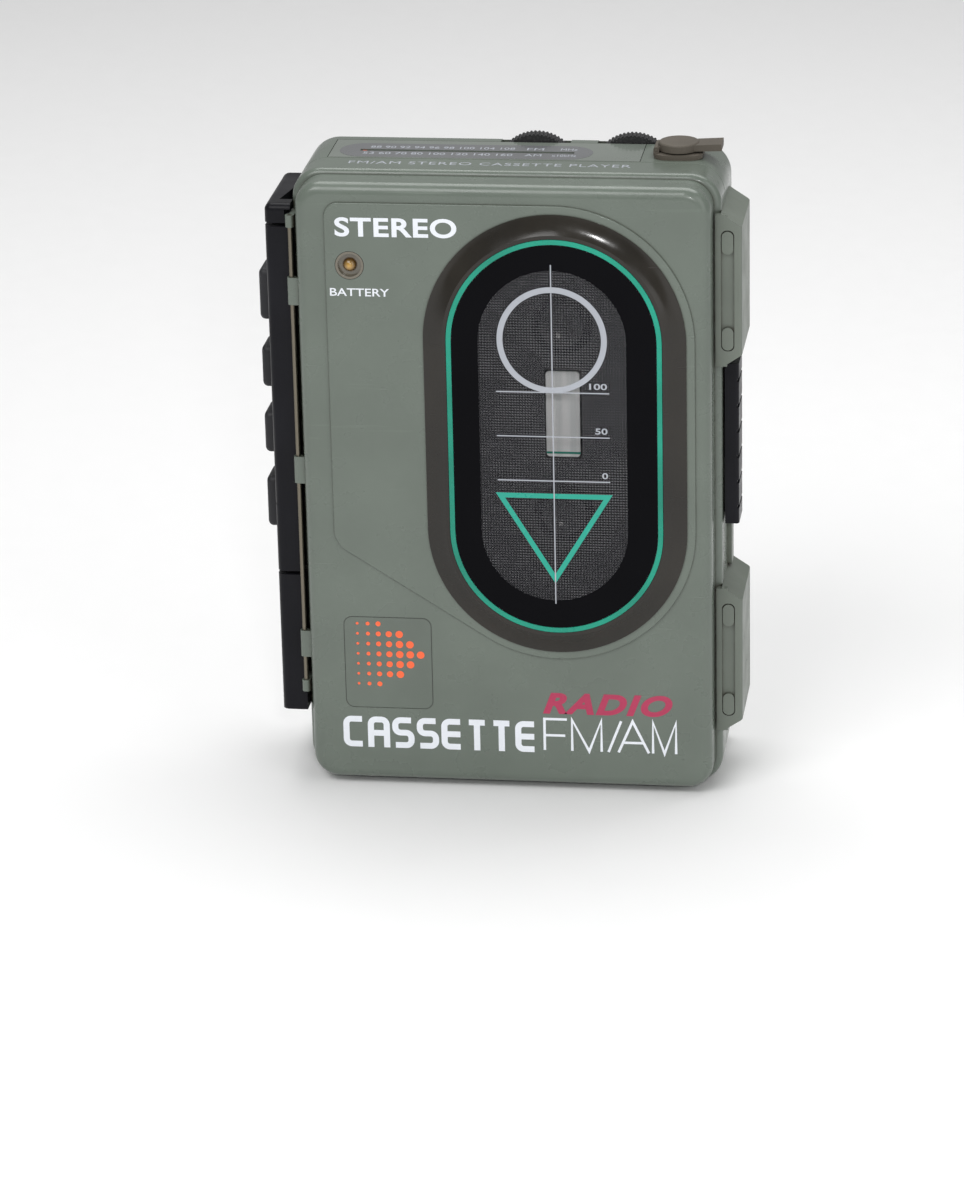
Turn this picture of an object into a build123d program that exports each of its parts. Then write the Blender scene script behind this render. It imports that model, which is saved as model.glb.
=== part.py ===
from build123d import *
import math
import os

os.makedirs("parts", exist_ok=True)

# A personal cassette player standing on its bottom face. The origin is the centre of that face,
# +Z is up and the cassette door faces -Y. All sizes are in millimetres. A "depth" is measured
# towards the front from the plane Y = 0, so a point at depth d has Y = -d.

# Case
case_width = 90.8
case_height = 137.4
rear_depth = 20.0
front_depth = 9.0
case_corner = 6.5
wall = 1.8
back_wall = 1.8
back_edge_round = 4.0
front_edge_round = 1.4
seam_chamfer = 0.25
flange_thickness = 1.4

# Door
lid_side_margin = 1.6
lid_bottom_margin = 1.4
lid_top_margin = 1.0
lid_gap = 0.5
lid_depth = 7.0
lid_corner = 5.5
lid_wall = 1.8
lid_edge_round = 2.4
hinge_side_room = 4.4
rim_gap = 0.4
rim_wall = 1.4
rim_height = 4.0
gasket_height = 1.4
panel_step = 0.5
panel_step_round = 0.3

# Door hinge, a rod along Z
hinge_inset = 0.2
hinge_depth = 19.0
lug_root = 0.4
rod_radius = 0.5
running_clearance = 0.05
knuckle_radius = 0.95
knuckle_length = 6.0
lug_length = 2.6
rod_bottom = 20.8
rod_top = 128.6
knuckle_heights = (32.0, 72.0, 112.0)

# Window
window_x = 10.85
window_z = 81.8
bezel_half_width = 27.8
bezel_half_height = 48.8
bezel_band = 4.9
bezel_lip = 0.8
bezel_rise = 1.5
bezel_foot = 0.3
bezel_flange_depth = 1.2
bezel_flange_width = 3.0
bezel_seat = 0.5
bezel_bulge = 0.25
panel_margin = 1.8
trim_band = 1.05
trim_gap = 0.1
trim_proud = 0.05
panel_left = -37.4
panel_corner = 3.0
panel_bend_z = 59.4
panel_bend_radius = 5.5

# Battery lamp on the door
lamp_x = -32.2
lamp_z = 118.8
lamp_radius = 3.0
lamp_dome = 1.5
lamp_dome_sink = 1.1
lamp_rim = 0.5
lamp_dish = 0.9
lamp_clearance = 0.1

# Cassette and its drive
cassette_width = 63.8
cassette_length = 100.4
cassette_hub_offset = 34.8
hub_spacing = 42.5
hub_x = 10.5
hub_z = 80.0
bay_clearance = 0.6
rib_thickness = 1.0
rib_lower_end = 44.0
rib_upper_end = 98.0
rib_setback = 1.0
chassis_front = 6.0
chassis_thickness = 1.2
chassis_bottom = 27.0
chassis_below_top = 10.4
chassis_side_gap = 0.3
chassis_play = 0.2
spindle_radius = 2.4
spindle_tip_depth = 13.0
spindle_fin = 0.9
spindle_fin_shy = 2.0
spindle_flange = 2.2
spindle_flange_thickness = 1.0
spindle_chamfer = 0.6
spindle_shaft = 1.5
spindle_pulley_radius = 7.0
spindle_pulley_thickness = 2.4
capstan_x = -20.5
capstan_z = 61.0
capstan_radius = 1.0
flywheel_radius = 13.0
flywheel_thickness = 3.0
flywheel_depth = -4.5
flywheel_holes = 5
flywheel_hole_circle = 7.8
flywheel_hole_radius = 1.7
bearing_radius = 2.6
bearing_length = 3.6
motor_x = -26.0
motor_z = 108.0
motor_radius = 11.5
motor_length = 7.8
motor_round = 1.0
motor_boss_radius = 2.6
motor_boss_height = 0.8
motor_bore_length = 3.0
motor_pulley_radius = 3.0
motor_shaft = 0.8
motor_shaft_reach = 2.0
belt_size = 0.8
belt_clearance = 0.08
head_width = 12.0
head_length = 7.0
head_x = -34.2
head_round = 2.4
carriage_margin_x = 0.8
carriage_margin_z = 5.0
carriage_rise = 1.0
carriage_corner = 1.0
carriage_thickness = 1.2
carriage_gap = 0.3
pinch_pivot_x = -30.5
pinch_pivot_z = 48.0
pinch_reach_x = 2.0
pinch_reach_z = 13.0
pinch_roller_radius = 4.0
pinch_pin = 0.8
pinch_arm_thickness = 1.6
pinch_arm_root = 2.4
pinch_arm_end = 1.8
pinch_post = 3.2
pinch_roller_gap = 0.3
reflector_width = 7.3
reflector_height = 19.3
reflector_z = 81.4
reflector_thickness = 0.4
reflector_corner = 0.8

# Electronics
board_depth = -9.2
board_thickness = 1.2
board_side_gap = 0.6
board_bottom = 26.0
board_below_top = 17.0
board_posts = ((-30.0, 34.0), (30.0, 34.0), (0.0, 116.0))
chip_size = (9.0, 6.4)
chip_height = 2.0
chip_places = ((8.0, 36.0), (30.0, 60.0), (30.0, 88.0))
capacitor_radius = 2.6
capacitor_height = 6.5
capacitor_places = ((24.0, 36.0), (31.0, 36.0), (24.0, 44.0), (31.0, 44.0), (18.0, 104.0))
can_size = 6.6
can_corner = 0.6
can_height = 7.0
can_places = ((2.0, 112.0), (11.0, 112.0), (33.0, 104.0))
rod_antenna_radius = 3.5
rod_antenna_left = -35.0
rod_antenna_right = -8.0
rod_antenna_below_top = 9.4
coil_offset = 6.0
coil_length = 10.0
coil_thickness = 0.7

# Thumbwheels, axes along Y
wheel_radius = 9.0
wheel_thickness = 3.2
wheel_y = 10.6
wheel_below_top = 7.3
wheel_shaft = 2.0
wheel_notches = 64
wheel_notch_radius = 0.25
wheel_clearance = 0.4
control_front = -4.0
control_top_gap = 0.3
tuning_size = (15.0, 13.6)
volume_body_radius = 6.4
volume_foot = (8.0, 6.0)
volume_foot_drop = 6.4
tuning_x = 3.7
volume_x = 24.5

# Dial in the top face
dial_left = -39.0
dial_right = 27.4
dial_front = -5.0
dial_back = 8.6
dial_thickness = 0.8
dial_gap = 0.15
pointer_y = 0.75
pointer_width = 0.9
pointer_travel = 44.0
pointer_start = -32.0
pointer_carriage = (3.2, 2.4)
pointer_carriage_height = 1.2
pointer_carriage_gap = 0.4
pointer_sunk = 0.2

# Headphone socket and its rubber cap
jack_x = 35.2
jack_y = 0.9
jack_bore = 1.78
jack_length = 14.0
jack_barrel = 2.8
jack_proud = 0.8
jack_floor = 1.0
jack_body = 7.6
jack_clearance = 0.1
cap_radius = 4.3
cap_thickness = 1.8
cap_round = 0.5
cap_base_thickness = 1.0
cap_base_size = (10.4, 9.6)
cap_base_corner = 3.0
cap_gap = 0.3
cap_hinge_x = 30.6
cap_strap = (4.0, 0.9)
cap_barrel = 0.6
cap_pin = 0.35
cap_ear = 0.8
cap_ear_gap = 0.1
cap_tab_width = 5.4
cap_tab_root = 2.0
cap_tab_reach = 9.2
cap_tab_root_levels = (0.1, 1.4)
cap_tab_end_levels = (0.3, 1.8)

# Control side: a black rail with four push buttons
rail_width = 5.6
rail_front = 17.5
rail_back = -8.0
rail_bottom = 15.6
rail_top = 130.4
rail_upper_split = 125.9
rail_lower_split = 47.5
rail_split_gap = 0.8
rail_round = 1.6
rail_floor = 1.2
strap_slot_width = 2.8
strap_slot_front = 13.5
strap_slot_back = 4.5
strap_wall = 1.2
strap_round = 1.5
button_depth = 6.0
button_width = 9.0
button_round = 1.4
button_proud = 3.0
button_travel = 2.0
button_clearance = 0.3
button_edge_round = 1.12
button_back_gap = 0.2
stem_width = 2.6
stem_height = 3.0
stem_depth = 8.0
stem_reach = 2.4
buttons = (
    ("button_record", 108.2, 11.5),
    ("button_rewind", 92.0, 9.4),
    ("button_forward", 77.1, 9.4),
    ("button_play", 61.2, 11.6),
)

# Guard side: two grey blocks with the door catch between them
guard_width = 4.4
guard_front = 16.0
guard_back = -5.0
guard_lap = 1.2
guard_slope = 2.9
guard_round = 0.6
guard_lap_shy = 0.3
upper_guard = (95.8, 129.6)
lower_guard = (12.9, 46.3)
pad_width = 2.4
pad_length = 5.0
pad_proud = 0.1
pad_recess = 0.6
pad_inset = 0.2
pad_gap = 0.2
pad_end_offset = 6.4
latch_width = 3.0
latch_gap = 0.4
latch_bottom = 59.5
latch_top = 95.4
latch_front = 12.0
latch_back = 3.0
latch_travel = 12.0
latch_groove_pitch = 5.7
latch_groove = 0.8
latch_grooves = 6
latch_round = 0.8
latch_shank = 8.0
latch_shank_width = 2.0
latch_plate_gap = 0.3
latch_plate = 0.9
latch_plate_width = 3.4
latch_plate_margin = 2.0
track_width = 1.0
track_depth = 5.0
track_setback = 0.5
track_end_gap = 0.2
track_corner = 0.6

# Batteries, two cylinders along X, one in front of the other
cell_radius = 7.1
cell_length = 50.0
cell_z = 14.0
cell_middle_depth = 3.5
cell_gap = 0.4
cell_cap_radius = 2.6
cell_cap_height = 1.2
cell_round = 0.4
tray_wall = 1.0
tray_clearance = 0.4
tray_front_gap = 0.2
contact_room = 3.0
contact_thickness = 0.4
contact_size = 11.0
contact_boss = 2.2
spring_turns = 3
spring_radius = 4.6
spring_taper = 0.9
spring_wire = 1.0
cover_thickness = 1.0
cover_lap = 0.2
cover_grip_x = 8.0
cover_groove = (0.8, 8.0)
cover_groove_pitch = 1.6
cover_grooves = 4
cover_groove_depth = 0.4
partition_gap = 0.5
partition_thickness = 1.4

# Slide switches in the back
switch_z = 108.0
switch_knob_width = 5.0
switch_knob_height = 4.0
switch_clearance = 0.3
switch_sunk = 0.2
switch_groove = 0.5
switch_groove_pitch = 1.2
switch_flange = 1.5
switch_flange_thickness = 1.2
switch_flange_gap = 0.3
switches = (("function_switch", 6.0, 8.0), ("band_switch", 24.0, 4.0))

# Fasteners
screw_wall_gap = 1.55
screw_shank = 0.9
screw_head = 1.7
screw_head_height = 1.2
screw_recess = 0.3
screw_clearance = 0.1
screw_grip = 4.0
screw_slot = (2.0, 0.5)
screw_slot_depth = 0.6
screw_end = 1.0
boss_radius = 1.75
rear_boss_radius = 2.25
case_screw_end_room = (12.0, 5.9)
chassis_screw_end_room = 4.0
chassis_screw_head = 1.5
chassis_screw_head_height = 0.9
cut_room = 1.0

# Planes and outlines that follow from the sizes above
half_width = case_width / 2
hinge_x = -half_width + hinge_inset
front_face = (front_depth + rear_depth) / 2
back_face = -front_face
seam = front_face - front_depth
lid_back = front_face + lid_gap
lid_front = lid_back + lid_depth
panel_front = lid_front + panel_step
pane_front = panel_front + bezel_rise
rim_front = front_face + rim_height
chassis_back = chassis_front - chassis_thickness
lid_half = half_width - lid_side_margin
lid_box = (-lid_half, lid_half, lid_bottom_margin, case_height - lid_top_margin)
rim_inset = lid_wall + rim_gap
rim_box = (
    lid_box[0] + lid_wall + hinge_side_room,
    lid_box[1] - rim_inset,
    lid_box[2] + rim_inset,
    lid_box[3] - rim_inset,
)
rim_corner = lid_corner - rim_inset
bay_left = hub_x - cassette_hub_offset - bay_clearance
bay_right = bay_left + cassette_width + 2 * bay_clearance
arc_offset = bezel_half_height - bezel_half_width
screw_x = half_width - wall - screw_wall_gap
case_screw_heights = (case_screw_end_room[0], case_height - case_screw_end_room[1])
chassis_top = case_height - chassis_below_top
chassis_screw_heights = (chassis_bottom + chassis_screw_end_room, chassis_top - chassis_screw_end_room)
board_half_width = screw_x - rear_boss_radius - board_side_gap
board_top = case_height - board_below_top
rod_antenna_z = case_height - rod_antenna_below_top
wheel_z = case_height - wheel_below_top
cell_front_depth = cell_middle_depth + cell_radius + cell_gap / 2
cell_rear_depth = cell_middle_depth - cell_radius - cell_gap / 2
partition_bottom = cell_z + cell_radius + tray_clearance + tray_wall + partition_gap
hub_heights = (hub_z + hub_spacing / 2, hub_z - hub_spacing / 2)


def box_outline(box, radius, inset=0.0):
    """Rounded rectangle in the current sketch, from (left, right, bottom, top)."""
    left, right, bottom, top = box
    with Locations(((left + right) / 2, (bottom + top) / 2)):
        RectangleRounded(right - left - 2 * inset, top - bottom - 2 * inset, radius - inset)


def window_outline(half):
    """Upright slot in the current sketch, concentric with the window's rounded ends."""
    with Locations((window_x, window_z)):
        SlotOverall(2 * (half + arc_offset), 2 * half, rotation=90)


case_box = (-half_width, half_width, 0.0, case_height)

# Rear case: a tub with the seam at its open front
with BuildPart() as rear_case:
    with BuildSketch(Plane.XZ.offset(back_face)):
        box_outline(case_box, case_corner)
    extrude(amount=rear_depth)
    fillet(rear_case.faces().sort_by(Axis.Y)[-1].edges(), back_edge_round)
    chamfer(rear_case.faces().sort_by(Axis.Y)[0].edges(), seam_chamfer)
    with BuildSketch(Plane.XZ.offset(back_face + back_wall)):
        box_outline(case_box, case_corner, wall)
    extrude(amount=rear_depth - back_wall, mode=Mode.SUBTRACT)
    with BuildSketch(Plane.XZ.offset(back_face + back_wall / 2)):
        for height in case_screw_heights:
            with Locations((-screw_x, height), (screw_x, height)):
                Circle(rear_boss_radius)
    extrude(amount=seam - back_face - back_wall / 2)
    with BuildSketch(Plane.XZ.offset(back_face + back_wall / 2)):
        with Locations(*board_posts):
            Circle(boss_radius)
    extrude(amount=board_depth - board_thickness - back_face - back_wall / 2)
    with BuildSketch(Plane.XZ.offset(back_face)):
        for height in case_screw_heights:
            with Locations((-screw_x, height), (screw_x, height)):
                Circle(screw_shank)
    extrude(amount=rear_depth, mode=Mode.SUBTRACT)
    with BuildSketch(Plane.XZ.offset(back_face)):
        for height in case_screw_heights:
            with Locations((-screw_x, height), (screw_x, height)):
                Circle(screw_head + screw_clearance)
    extrude(amount=screw_head_height + screw_recess, mode=Mode.SUBTRACT)
    # Slots in the top wall for the thumbwheels
    chord = math.sqrt(wheel_radius**2 - (case_height - wall - wheel_z) ** 2)
    with BuildSketch(Plane.XY.offset(case_height - wall)):
        with Locations((tuning_x, wheel_y), (volume_x, wheel_y)):
            Rectangle(2 * (chord + wheel_clearance), wheel_thickness + 2 * wheel_clearance)
    extrude(amount=wall, mode=Mode.SUBTRACT)
    # Recess for the dial, the pointer's slot and the hole for the socket
    with BuildSketch(Plane.XY.offset(case_height - dial_thickness)):
        with Locations(((dial_left + dial_right) / 2, (dial_front + dial_back) / 2)):
            Rectangle(dial_right - dial_left + 2 * dial_gap, dial_back - dial_front + 2 * dial_gap)
    extrude(amount=dial_thickness, mode=Mode.SUBTRACT)
    with BuildSketch(Plane.XY.offset(case_height - wall)):
        with Locations((pointer_start + pointer_travel / 2, pointer_y)):
            Rectangle(pointer_travel + 2 * pointer_width, pointer_width + 2 * dial_gap)
        with Locations((jack_x, jack_y)):
            Circle(jack_barrel + jack_clearance)
    extrude(amount=wall, mode=Mode.SUBTRACT)
    # Slots in the back for the slide switches
    with BuildSketch(Plane.XZ.offset(back_face)):
        for label, x, travel in switches:
            with Locations((x + travel / 2, switch_z)):
                Rectangle(
                    switch_knob_width + travel + 2 * switch_clearance,
                    switch_knob_height + 2 * switch_clearance,
                )
    extrude(amount=back_wall, mode=Mode.SUBTRACT)
rear_case.part.label = "rear_case"
export_step(rear_case.part, "parts/rear_case.step")

# Front case: the ring that the door closes on, with a raised rim inside the door
with BuildPart() as front_case:
    with BuildSketch(Plane.XZ.offset(seam)):
        box_outline(case_box, case_corner)
    extrude(amount=front_depth)
    fillet(front_case.faces().sort_by(Axis.Y)[0].edges(), front_edge_round)
    chamfer(front_case.faces().sort_by(Axis.Y)[-1].edges(), seam_chamfer)
    with BuildSketch(Plane.XZ.offset(seam)):
        box_outline(case_box, case_corner, wall)
    extrude(amount=front_depth - flange_thickness, mode=Mode.SUBTRACT)
    with BuildSketch(Plane.XZ.offset(front_face - flange_thickness)):
        box_outline(rim_box, rim_corner)
    extrude(amount=rim_height + flange_thickness)
    with BuildSketch(Plane.XZ.offset(front_face - flange_thickness)):
        box_outline(rim_box, rim_corner, rim_wall)
    extrude(amount=rim_height + flange_thickness, mode=Mode.SUBTRACT)
    # Partition above the batteries
    with BuildSketch(Plane.XZ.offset(seam)):
        with Locations(((rim_box[0] + rim_box[1]) / 2, partition_bottom + partition_thickness / 2)):
            Rectangle(rim_box[1] - rim_box[0] - rim_wall, partition_thickness)
    extrude(amount=rim_front - seam)
    # Ribs that guide the cassette's tape side
    rib_bottom = partition_bottom + partition_thickness
    rib_top = rim_box[3] - rim_wall / 2
    with BuildSketch(Plane.XZ.offset(chassis_front + chassis_play)):
        with Locations((bay_left - rib_thickness / 2, (rib_bottom + rib_lower_end) / 2)):
            Rectangle(rib_thickness, rib_lower_end - rib_bottom)
        with Locations((bay_left - rib_thickness / 2, (rib_top + rib_upper_end) / 2)):
            Rectangle(rib_thickness, rib_top - rib_upper_end)
    extrude(amount=rim_front - rib_setback - chassis_front - chassis_play)
    # Screw bosses behind the flange
    with BuildSketch(Plane.XZ.offset(seam)):
        for height in case_screw_heights:
            with Locations((-screw_x, height), (screw_x, height)):
                Circle(boss_radius)
    extrude(amount=front_depth - flange_thickness)
    with BuildSketch(Plane.XZ.offset(chassis_front)):
        for height in chassis_screw_heights:
            with Locations((-screw_x, height), (screw_x, height)):
                Circle(boss_radius)
    extrude(amount=front_face - flange_thickness - chassis_front)
    with BuildSketch(Plane.XZ.offset(seam)):
        for height in case_screw_heights + chassis_screw_heights:
            with Locations((-screw_x, height), (screw_x, height)):
                Circle(screw_shank)
    extrude(amount=front_depth - flange_thickness - screw_end, mode=Mode.SUBTRACT)
    # Holes in the left wall for the button stems
    with BuildSketch(Plane.YZ.offset(-half_width - cut_room)):
        for label, height, size in buttons:
            with Locations((-stem_depth, height)):
                Rectangle(stem_width + 2 * button_clearance, stem_height + 2 * button_clearance)
    extrude(amount=wall + 2 * cut_room, mode=Mode.SUBTRACT)
    # Slot in the right wall for the catch
    slot_top = (latch_bottom + latch_top) / 2 + latch_shank / 2 + button_clearance
    slot_length = latch_shank + latch_travel + 2 * button_clearance
    with BuildSketch(Plane.YZ.offset(half_width + cut_room)):
        with Locations((-stem_depth, slot_top - slot_length / 2)):
            Rectangle(latch_shank_width + 2 * button_clearance, slot_length)
    extrude(amount=-wall - 2 * cut_room, mode=Mode.SUBTRACT)
    # Lugs that hold the hinge rod
    for height in (rod_bottom, rod_top - lug_length):
        with BuildSketch(Plane.XY.offset(height)):
            with Locations((hinge_x, -hinge_depth)):
                Circle(knuckle_radius)
            lug_width = hinge_x + knuckle_radius + half_width
            lug_reach = hinge_depth - front_face + lug_root
            with Locations((-half_width + lug_width / 2, -hinge_depth + lug_reach / 2)):
                Rectangle(lug_width, lug_reach)
            with Locations((hinge_x, -hinge_depth)):
                Circle(rod_radius, mode=Mode.SUBTRACT)
        extrude(amount=lug_length)
front_case.part.label = "front_case"
export_step(front_case.part, "parts/front_case.step")

# Rubber seal on the rim
with BuildPart() as gasket:
    with BuildSketch(Plane.XZ.offset(rim_front)):
        box_outline(rim_box, rim_corner)
    extrude(amount=gasket_height)
    with BuildSketch(Plane.XZ.offset(rim_front)):
        box_outline(rim_box, rim_corner, rim_wall)
    extrude(amount=gasket_height, mode=Mode.SUBTRACT)
gasket.part.label = "gasket"
export_step(gasket.part, "parts/gasket.step")

# Door: a shallow shell with a raised panel around the window
with BuildPart() as lid:
    with BuildSketch(Plane.XZ.offset(lid_back)):
        box_outline(lid_box, lid_corner)
    extrude(amount=lid_depth)
    fillet(lid.faces().sort_by(Axis.Y)[0].edges(), lid_edge_round)
    with BuildSketch(Plane.XZ.offset(lid_back)):
        box_outline(lid_box, lid_corner, lid_wall)
    extrude(amount=lid_depth - lid_wall, mode=Mode.SUBTRACT)
    panel_half = bezel_half_width + panel_margin
    panel_top = window_z + arc_offset + panel_half
    with BuildSketch(Plane.XZ.offset(lid_front - lid_wall / 2)) as panel:
        window_outline(panel_half)
        with Locations((panel_left + panel_corner, panel_top - panel_corner)):
            Circle(panel_corner)
        with Locations((panel_left + panel_bend_radius, panel_bend_z)):
            Circle(panel_bend_radius)
        make_hull()
    extrude(amount=panel_step + lid_wall / 2)
    fillet(lid.faces().sort_by(Axis.Y)[0].edges(), panel_step_round)
    with BuildSketch(Plane.XZ.offset(lid_back)):
        window_outline(bezel_half_width - bezel_band + bezel_seat)
        with Locations((lamp_x, lamp_z)):
            Circle(lamp_radius + lamp_clearance)
    extrude(amount=lid_depth + 2 * panel_step, mode=Mode.SUBTRACT)
    for height in knuckle_heights:
        with BuildSketch(Plane.XY.offset(height - knuckle_length / 2)):
            with Locations((hinge_x, -hinge_depth)):
                Circle(knuckle_radius)
            web_length = -lid_half + lid_wall / 2 - hinge_x
            with Locations((hinge_x + web_length / 2, -hinge_depth - knuckle_radius / 2)):
                Rectangle(web_length, knuckle_radius)
            with Locations((hinge_x, -hinge_depth)):
                Circle(rod_radius + running_clearance, mode=Mode.SUBTRACT)
        extrude(amount=knuckle_length)
lid.part.label = "lid"
export_step(lid.part, "parts/lid.step")

# Window bezel: one quarter of the ring, mirrored twice
bezel_outer = window_x + bezel_half_width
bezel_inner = bezel_outer - bezel_band
flange_outer = bezel_inner + bezel_seat - trim_gap
flange_inner = flange_outer - bezel_flange_width

with BuildPart() as window_bezel:
    for height in (window_z, window_z + arc_offset):
        with BuildSketch(Plane.XY.offset(height)):
            with BuildLine():
                start = (bezel_outer, -panel_front - bezel_foot)
                end = (bezel_inner + bezel_lip, -pane_front)
                SagittaArc(start, end, -bezel_bulge)
                Polyline(
                    end,
                    (bezel_inner, -pane_front),
                    (bezel_inner, -panel_front),
                    (flange_inner, -panel_front),
                    (flange_inner, -panel_front + bezel_flange_depth),
                    (flange_outer, -panel_front + bezel_flange_depth),
                    (flange_outer, -panel_front),
                    (bezel_outer, -panel_front),
                    start,
                )
            make_face()
        if height == window_z:
            extrude(amount=arc_offset)
        else:
            revolve(axis=Axis((window_x, 0, height), (0, -1, 0)), revolution_arc=90)
    mirror(about=Plane.YZ.offset(window_x))
    mirror(about=Plane.XY.offset(window_z))
window_bezel.part.label = "window_bezel"
export_step(window_bezel.part, "parts/window_bezel.step")

# Coloured trim ring and the tinted pane inside it
trim_outer = bezel_half_width - bezel_band - trim_gap
with BuildPart() as window_trim:
    with BuildSketch(Plane.XZ.offset(panel_front)):
        window_outline(trim_outer)
    extrude(amount=bezel_rise + trim_proud)
    with BuildSketch(Plane.XZ.offset(panel_front)):
        window_outline(trim_outer - trim_band)
    extrude(amount=bezel_rise + trim_proud, mode=Mode.SUBTRACT)
window_trim.part.label = "window_trim"
export_step(window_trim.part, "parts/window_trim.step")

with BuildPart() as window_pane:
    with BuildSketch(Plane.XZ.offset(panel_front)):
        window_outline(trim_outer - trim_band - trim_gap)
    extrude(amount=bezel_rise)
window_pane.part.label = "window_pane"
export_step(window_pane.part, "parts/window_pane.step")

# Battery lamp: a dished collar with a dome in the middle
with BuildPart() as lamp_lens:
    with BuildSketch(Plane.XZ.offset(lid_front - lid_wall)):
        with Locations((lamp_x, lamp_z)):
            Circle(lamp_radius)
    extrude(amount=lid_wall + panel_step)
    with BuildSketch(Plane.XZ.offset(panel_front)):
        with Locations((lamp_x, lamp_z)):
            Circle(lamp_radius - lamp_rim)
    extrude(amount=-lamp_dish, mode=Mode.SUBTRACT)
    with Locations((lamp_x, -panel_front + lamp_dome_sink, lamp_z)):
        Sphere(lamp_dome)
lamp_lens.part.label = "lamp_lens"
export_step(lamp_lens.part, "parts/lamp_lens.step")

with BuildPart() as hinge_rod:
    with BuildSketch(Plane.XY.offset(rod_bottom)):
        with Locations((hinge_x, -hinge_depth)):
            Circle(rod_radius)
    extrude(amount=rod_top - rod_bottom)
hinge_rod.part.label = "hinge_rod"
export_step(hinge_rod.part, "parts/hinge_rod.step")

# Chassis plate that carries the drive
with BuildPart() as chassis:
    chassis_side = half_width - wall - chassis_side_gap
    with BuildSketch(Plane.XZ.offset(chassis_back)):
        with Locations((0, (chassis_bottom + chassis_top) / 2)):
            Rectangle(2 * chassis_side, chassis_top - chassis_bottom)
    extrude(amount=chassis_thickness)
    with BuildSketch(Plane.XZ.offset(chassis_back)):
        with Locations((capstan_x, capstan_z)):
            Circle(bearing_radius)
    extrude(amount=-bearing_length)
    with BuildSketch(Plane.XZ.offset(chassis_front)):
        with Locations((pinch_pivot_x, pinch_pivot_z)):
            Circle(capstan_radius)
    extrude(amount=pinch_post)
    with BuildSketch(Plane.XZ.offset(chassis_front)):
        with Locations(*[(hub_x, height) for height in hub_heights]):
            Circle(spindle_shaft + running_clearance)
        with Locations((capstan_x, capstan_z)):
            Circle(capstan_radius + running_clearance)
        for height in chassis_screw_heights:
            with Locations((-screw_x, height), (screw_x, height)):
                Circle(screw_shank)
    extrude(amount=-chassis_thickness - bearing_length, mode=Mode.SUBTRACT)
chassis.part.label = "chassis"
export_step(chassis.part, "parts/chassis.step")

# Reel spindles: splined tips in front of the chassis, pulleys behind it
for name, height in zip(("supply_spindle", "takeup_spindle"), hub_heights):
    with BuildPart() as spindle:
        with BuildSketch(Plane.XZ.offset(chassis_front + carriage_gap)):
            with Locations((hub_x, height)):
                Circle(spindle_radius + spindle_flange)
        extrude(amount=spindle_flange_thickness)
        with BuildSketch(Plane.XZ.offset(chassis_front + carriage_gap)):
            with Locations((hub_x, height)):
                Circle(spindle_radius)
        extrude(amount=spindle_tip_depth - chassis_front - carriage_gap)
        chamfer(spindle.faces().sort_by(Axis.Y)[0].edges(), spindle_chamfer)
        with BuildSketch(Plane.XZ.offset(chassis_front + carriage_gap)):
            with Locations((hub_x, height)):
                with PolarLocations(spindle_radius, 3, start_angle=90):
                    Rectangle(2 * spindle_fin, spindle_fin)
        extrude(amount=spindle_tip_depth - spindle_fin_shy - chassis_front)
        with BuildSketch(Plane.XZ.offset(chassis_front + carriage_gap)):
            with Locations((hub_x, height)):
                Circle(spindle_shaft)
        extrude(amount=-chassis_thickness - 2 * carriage_gap)
        with BuildSketch(Plane.XZ.offset(chassis_back - carriage_gap)):
            with Locations((hub_x, height)):
                Circle(spindle_pulley_radius)
        extrude(amount=-spindle_pulley_thickness)
    spindle.part.label = name
    export_step(spindle.part, f"parts/{name}.step")

# Flywheel with its capstan, and the belt to the motor
belt_depth = flywheel_depth - flywheel_thickness / 2
with BuildPart() as flywheel:
    with BuildSketch(Plane.XZ.offset(flywheel_depth)):
        with Locations((capstan_x, capstan_z)):
            Circle(flywheel_radius)
            Circle(capstan_radius, mode=Mode.SUBTRACT)
            with PolarLocations(flywheel_hole_circle, flywheel_holes):
                Circle(flywheel_hole_radius, mode=Mode.SUBTRACT)
    extrude(amount=-flywheel_thickness)
    with BuildSketch(Plane.XZ.offset(belt_depth + belt_size / 2 + belt_clearance)):
        with Locations((capstan_x, capstan_z)):
            Circle(flywheel_radius)
            Circle(flywheel_radius - belt_size, mode=Mode.SUBTRACT)
    extrude(amount=-belt_size - 2 * belt_clearance, mode=Mode.SUBTRACT)
flywheel.part.label = "flywheel"
export_step(flywheel.part, "parts/flywheel.step")

with BuildPart() as capstan:
    with BuildSketch(Plane.XZ.offset(spindle_tip_depth)):
        with Locations((capstan_x, capstan_z)):
            Circle(capstan_radius)
    extrude(amount=-spindle_tip_depth + flywheel_depth - flywheel_thickness)
capstan.part.label = "capstan"
export_step(capstan.part, "parts/capstan.step")

motor_back = chassis_back - motor_length
with BuildPart() as motor:
    with BuildSketch(Plane.XZ.offset(chassis_back)):
        with Locations((motor_x, motor_z)):
            Circle(motor_radius)
    extrude(amount=-motor_length)
    fillet(motor.faces().sort_by(Axis.Y)[-1].edges(), motor_round)
    with BuildSketch(Plane.XZ.offset(motor_back)):
        with Locations((motor_x, motor_z)):
            Circle(motor_boss_radius)
    extrude(amount=-motor_boss_height)
    with BuildSketch(Plane.XZ.offset(motor_back - motor_boss_height)):
        with Locations((motor_x, motor_z)):
            Circle(motor_shaft + running_clearance)
    extrude(amount=motor_bore_length, mode=Mode.SUBTRACT)
motor.part.label = "motor"
export_step(motor.part, "parts/motor.step")

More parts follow.
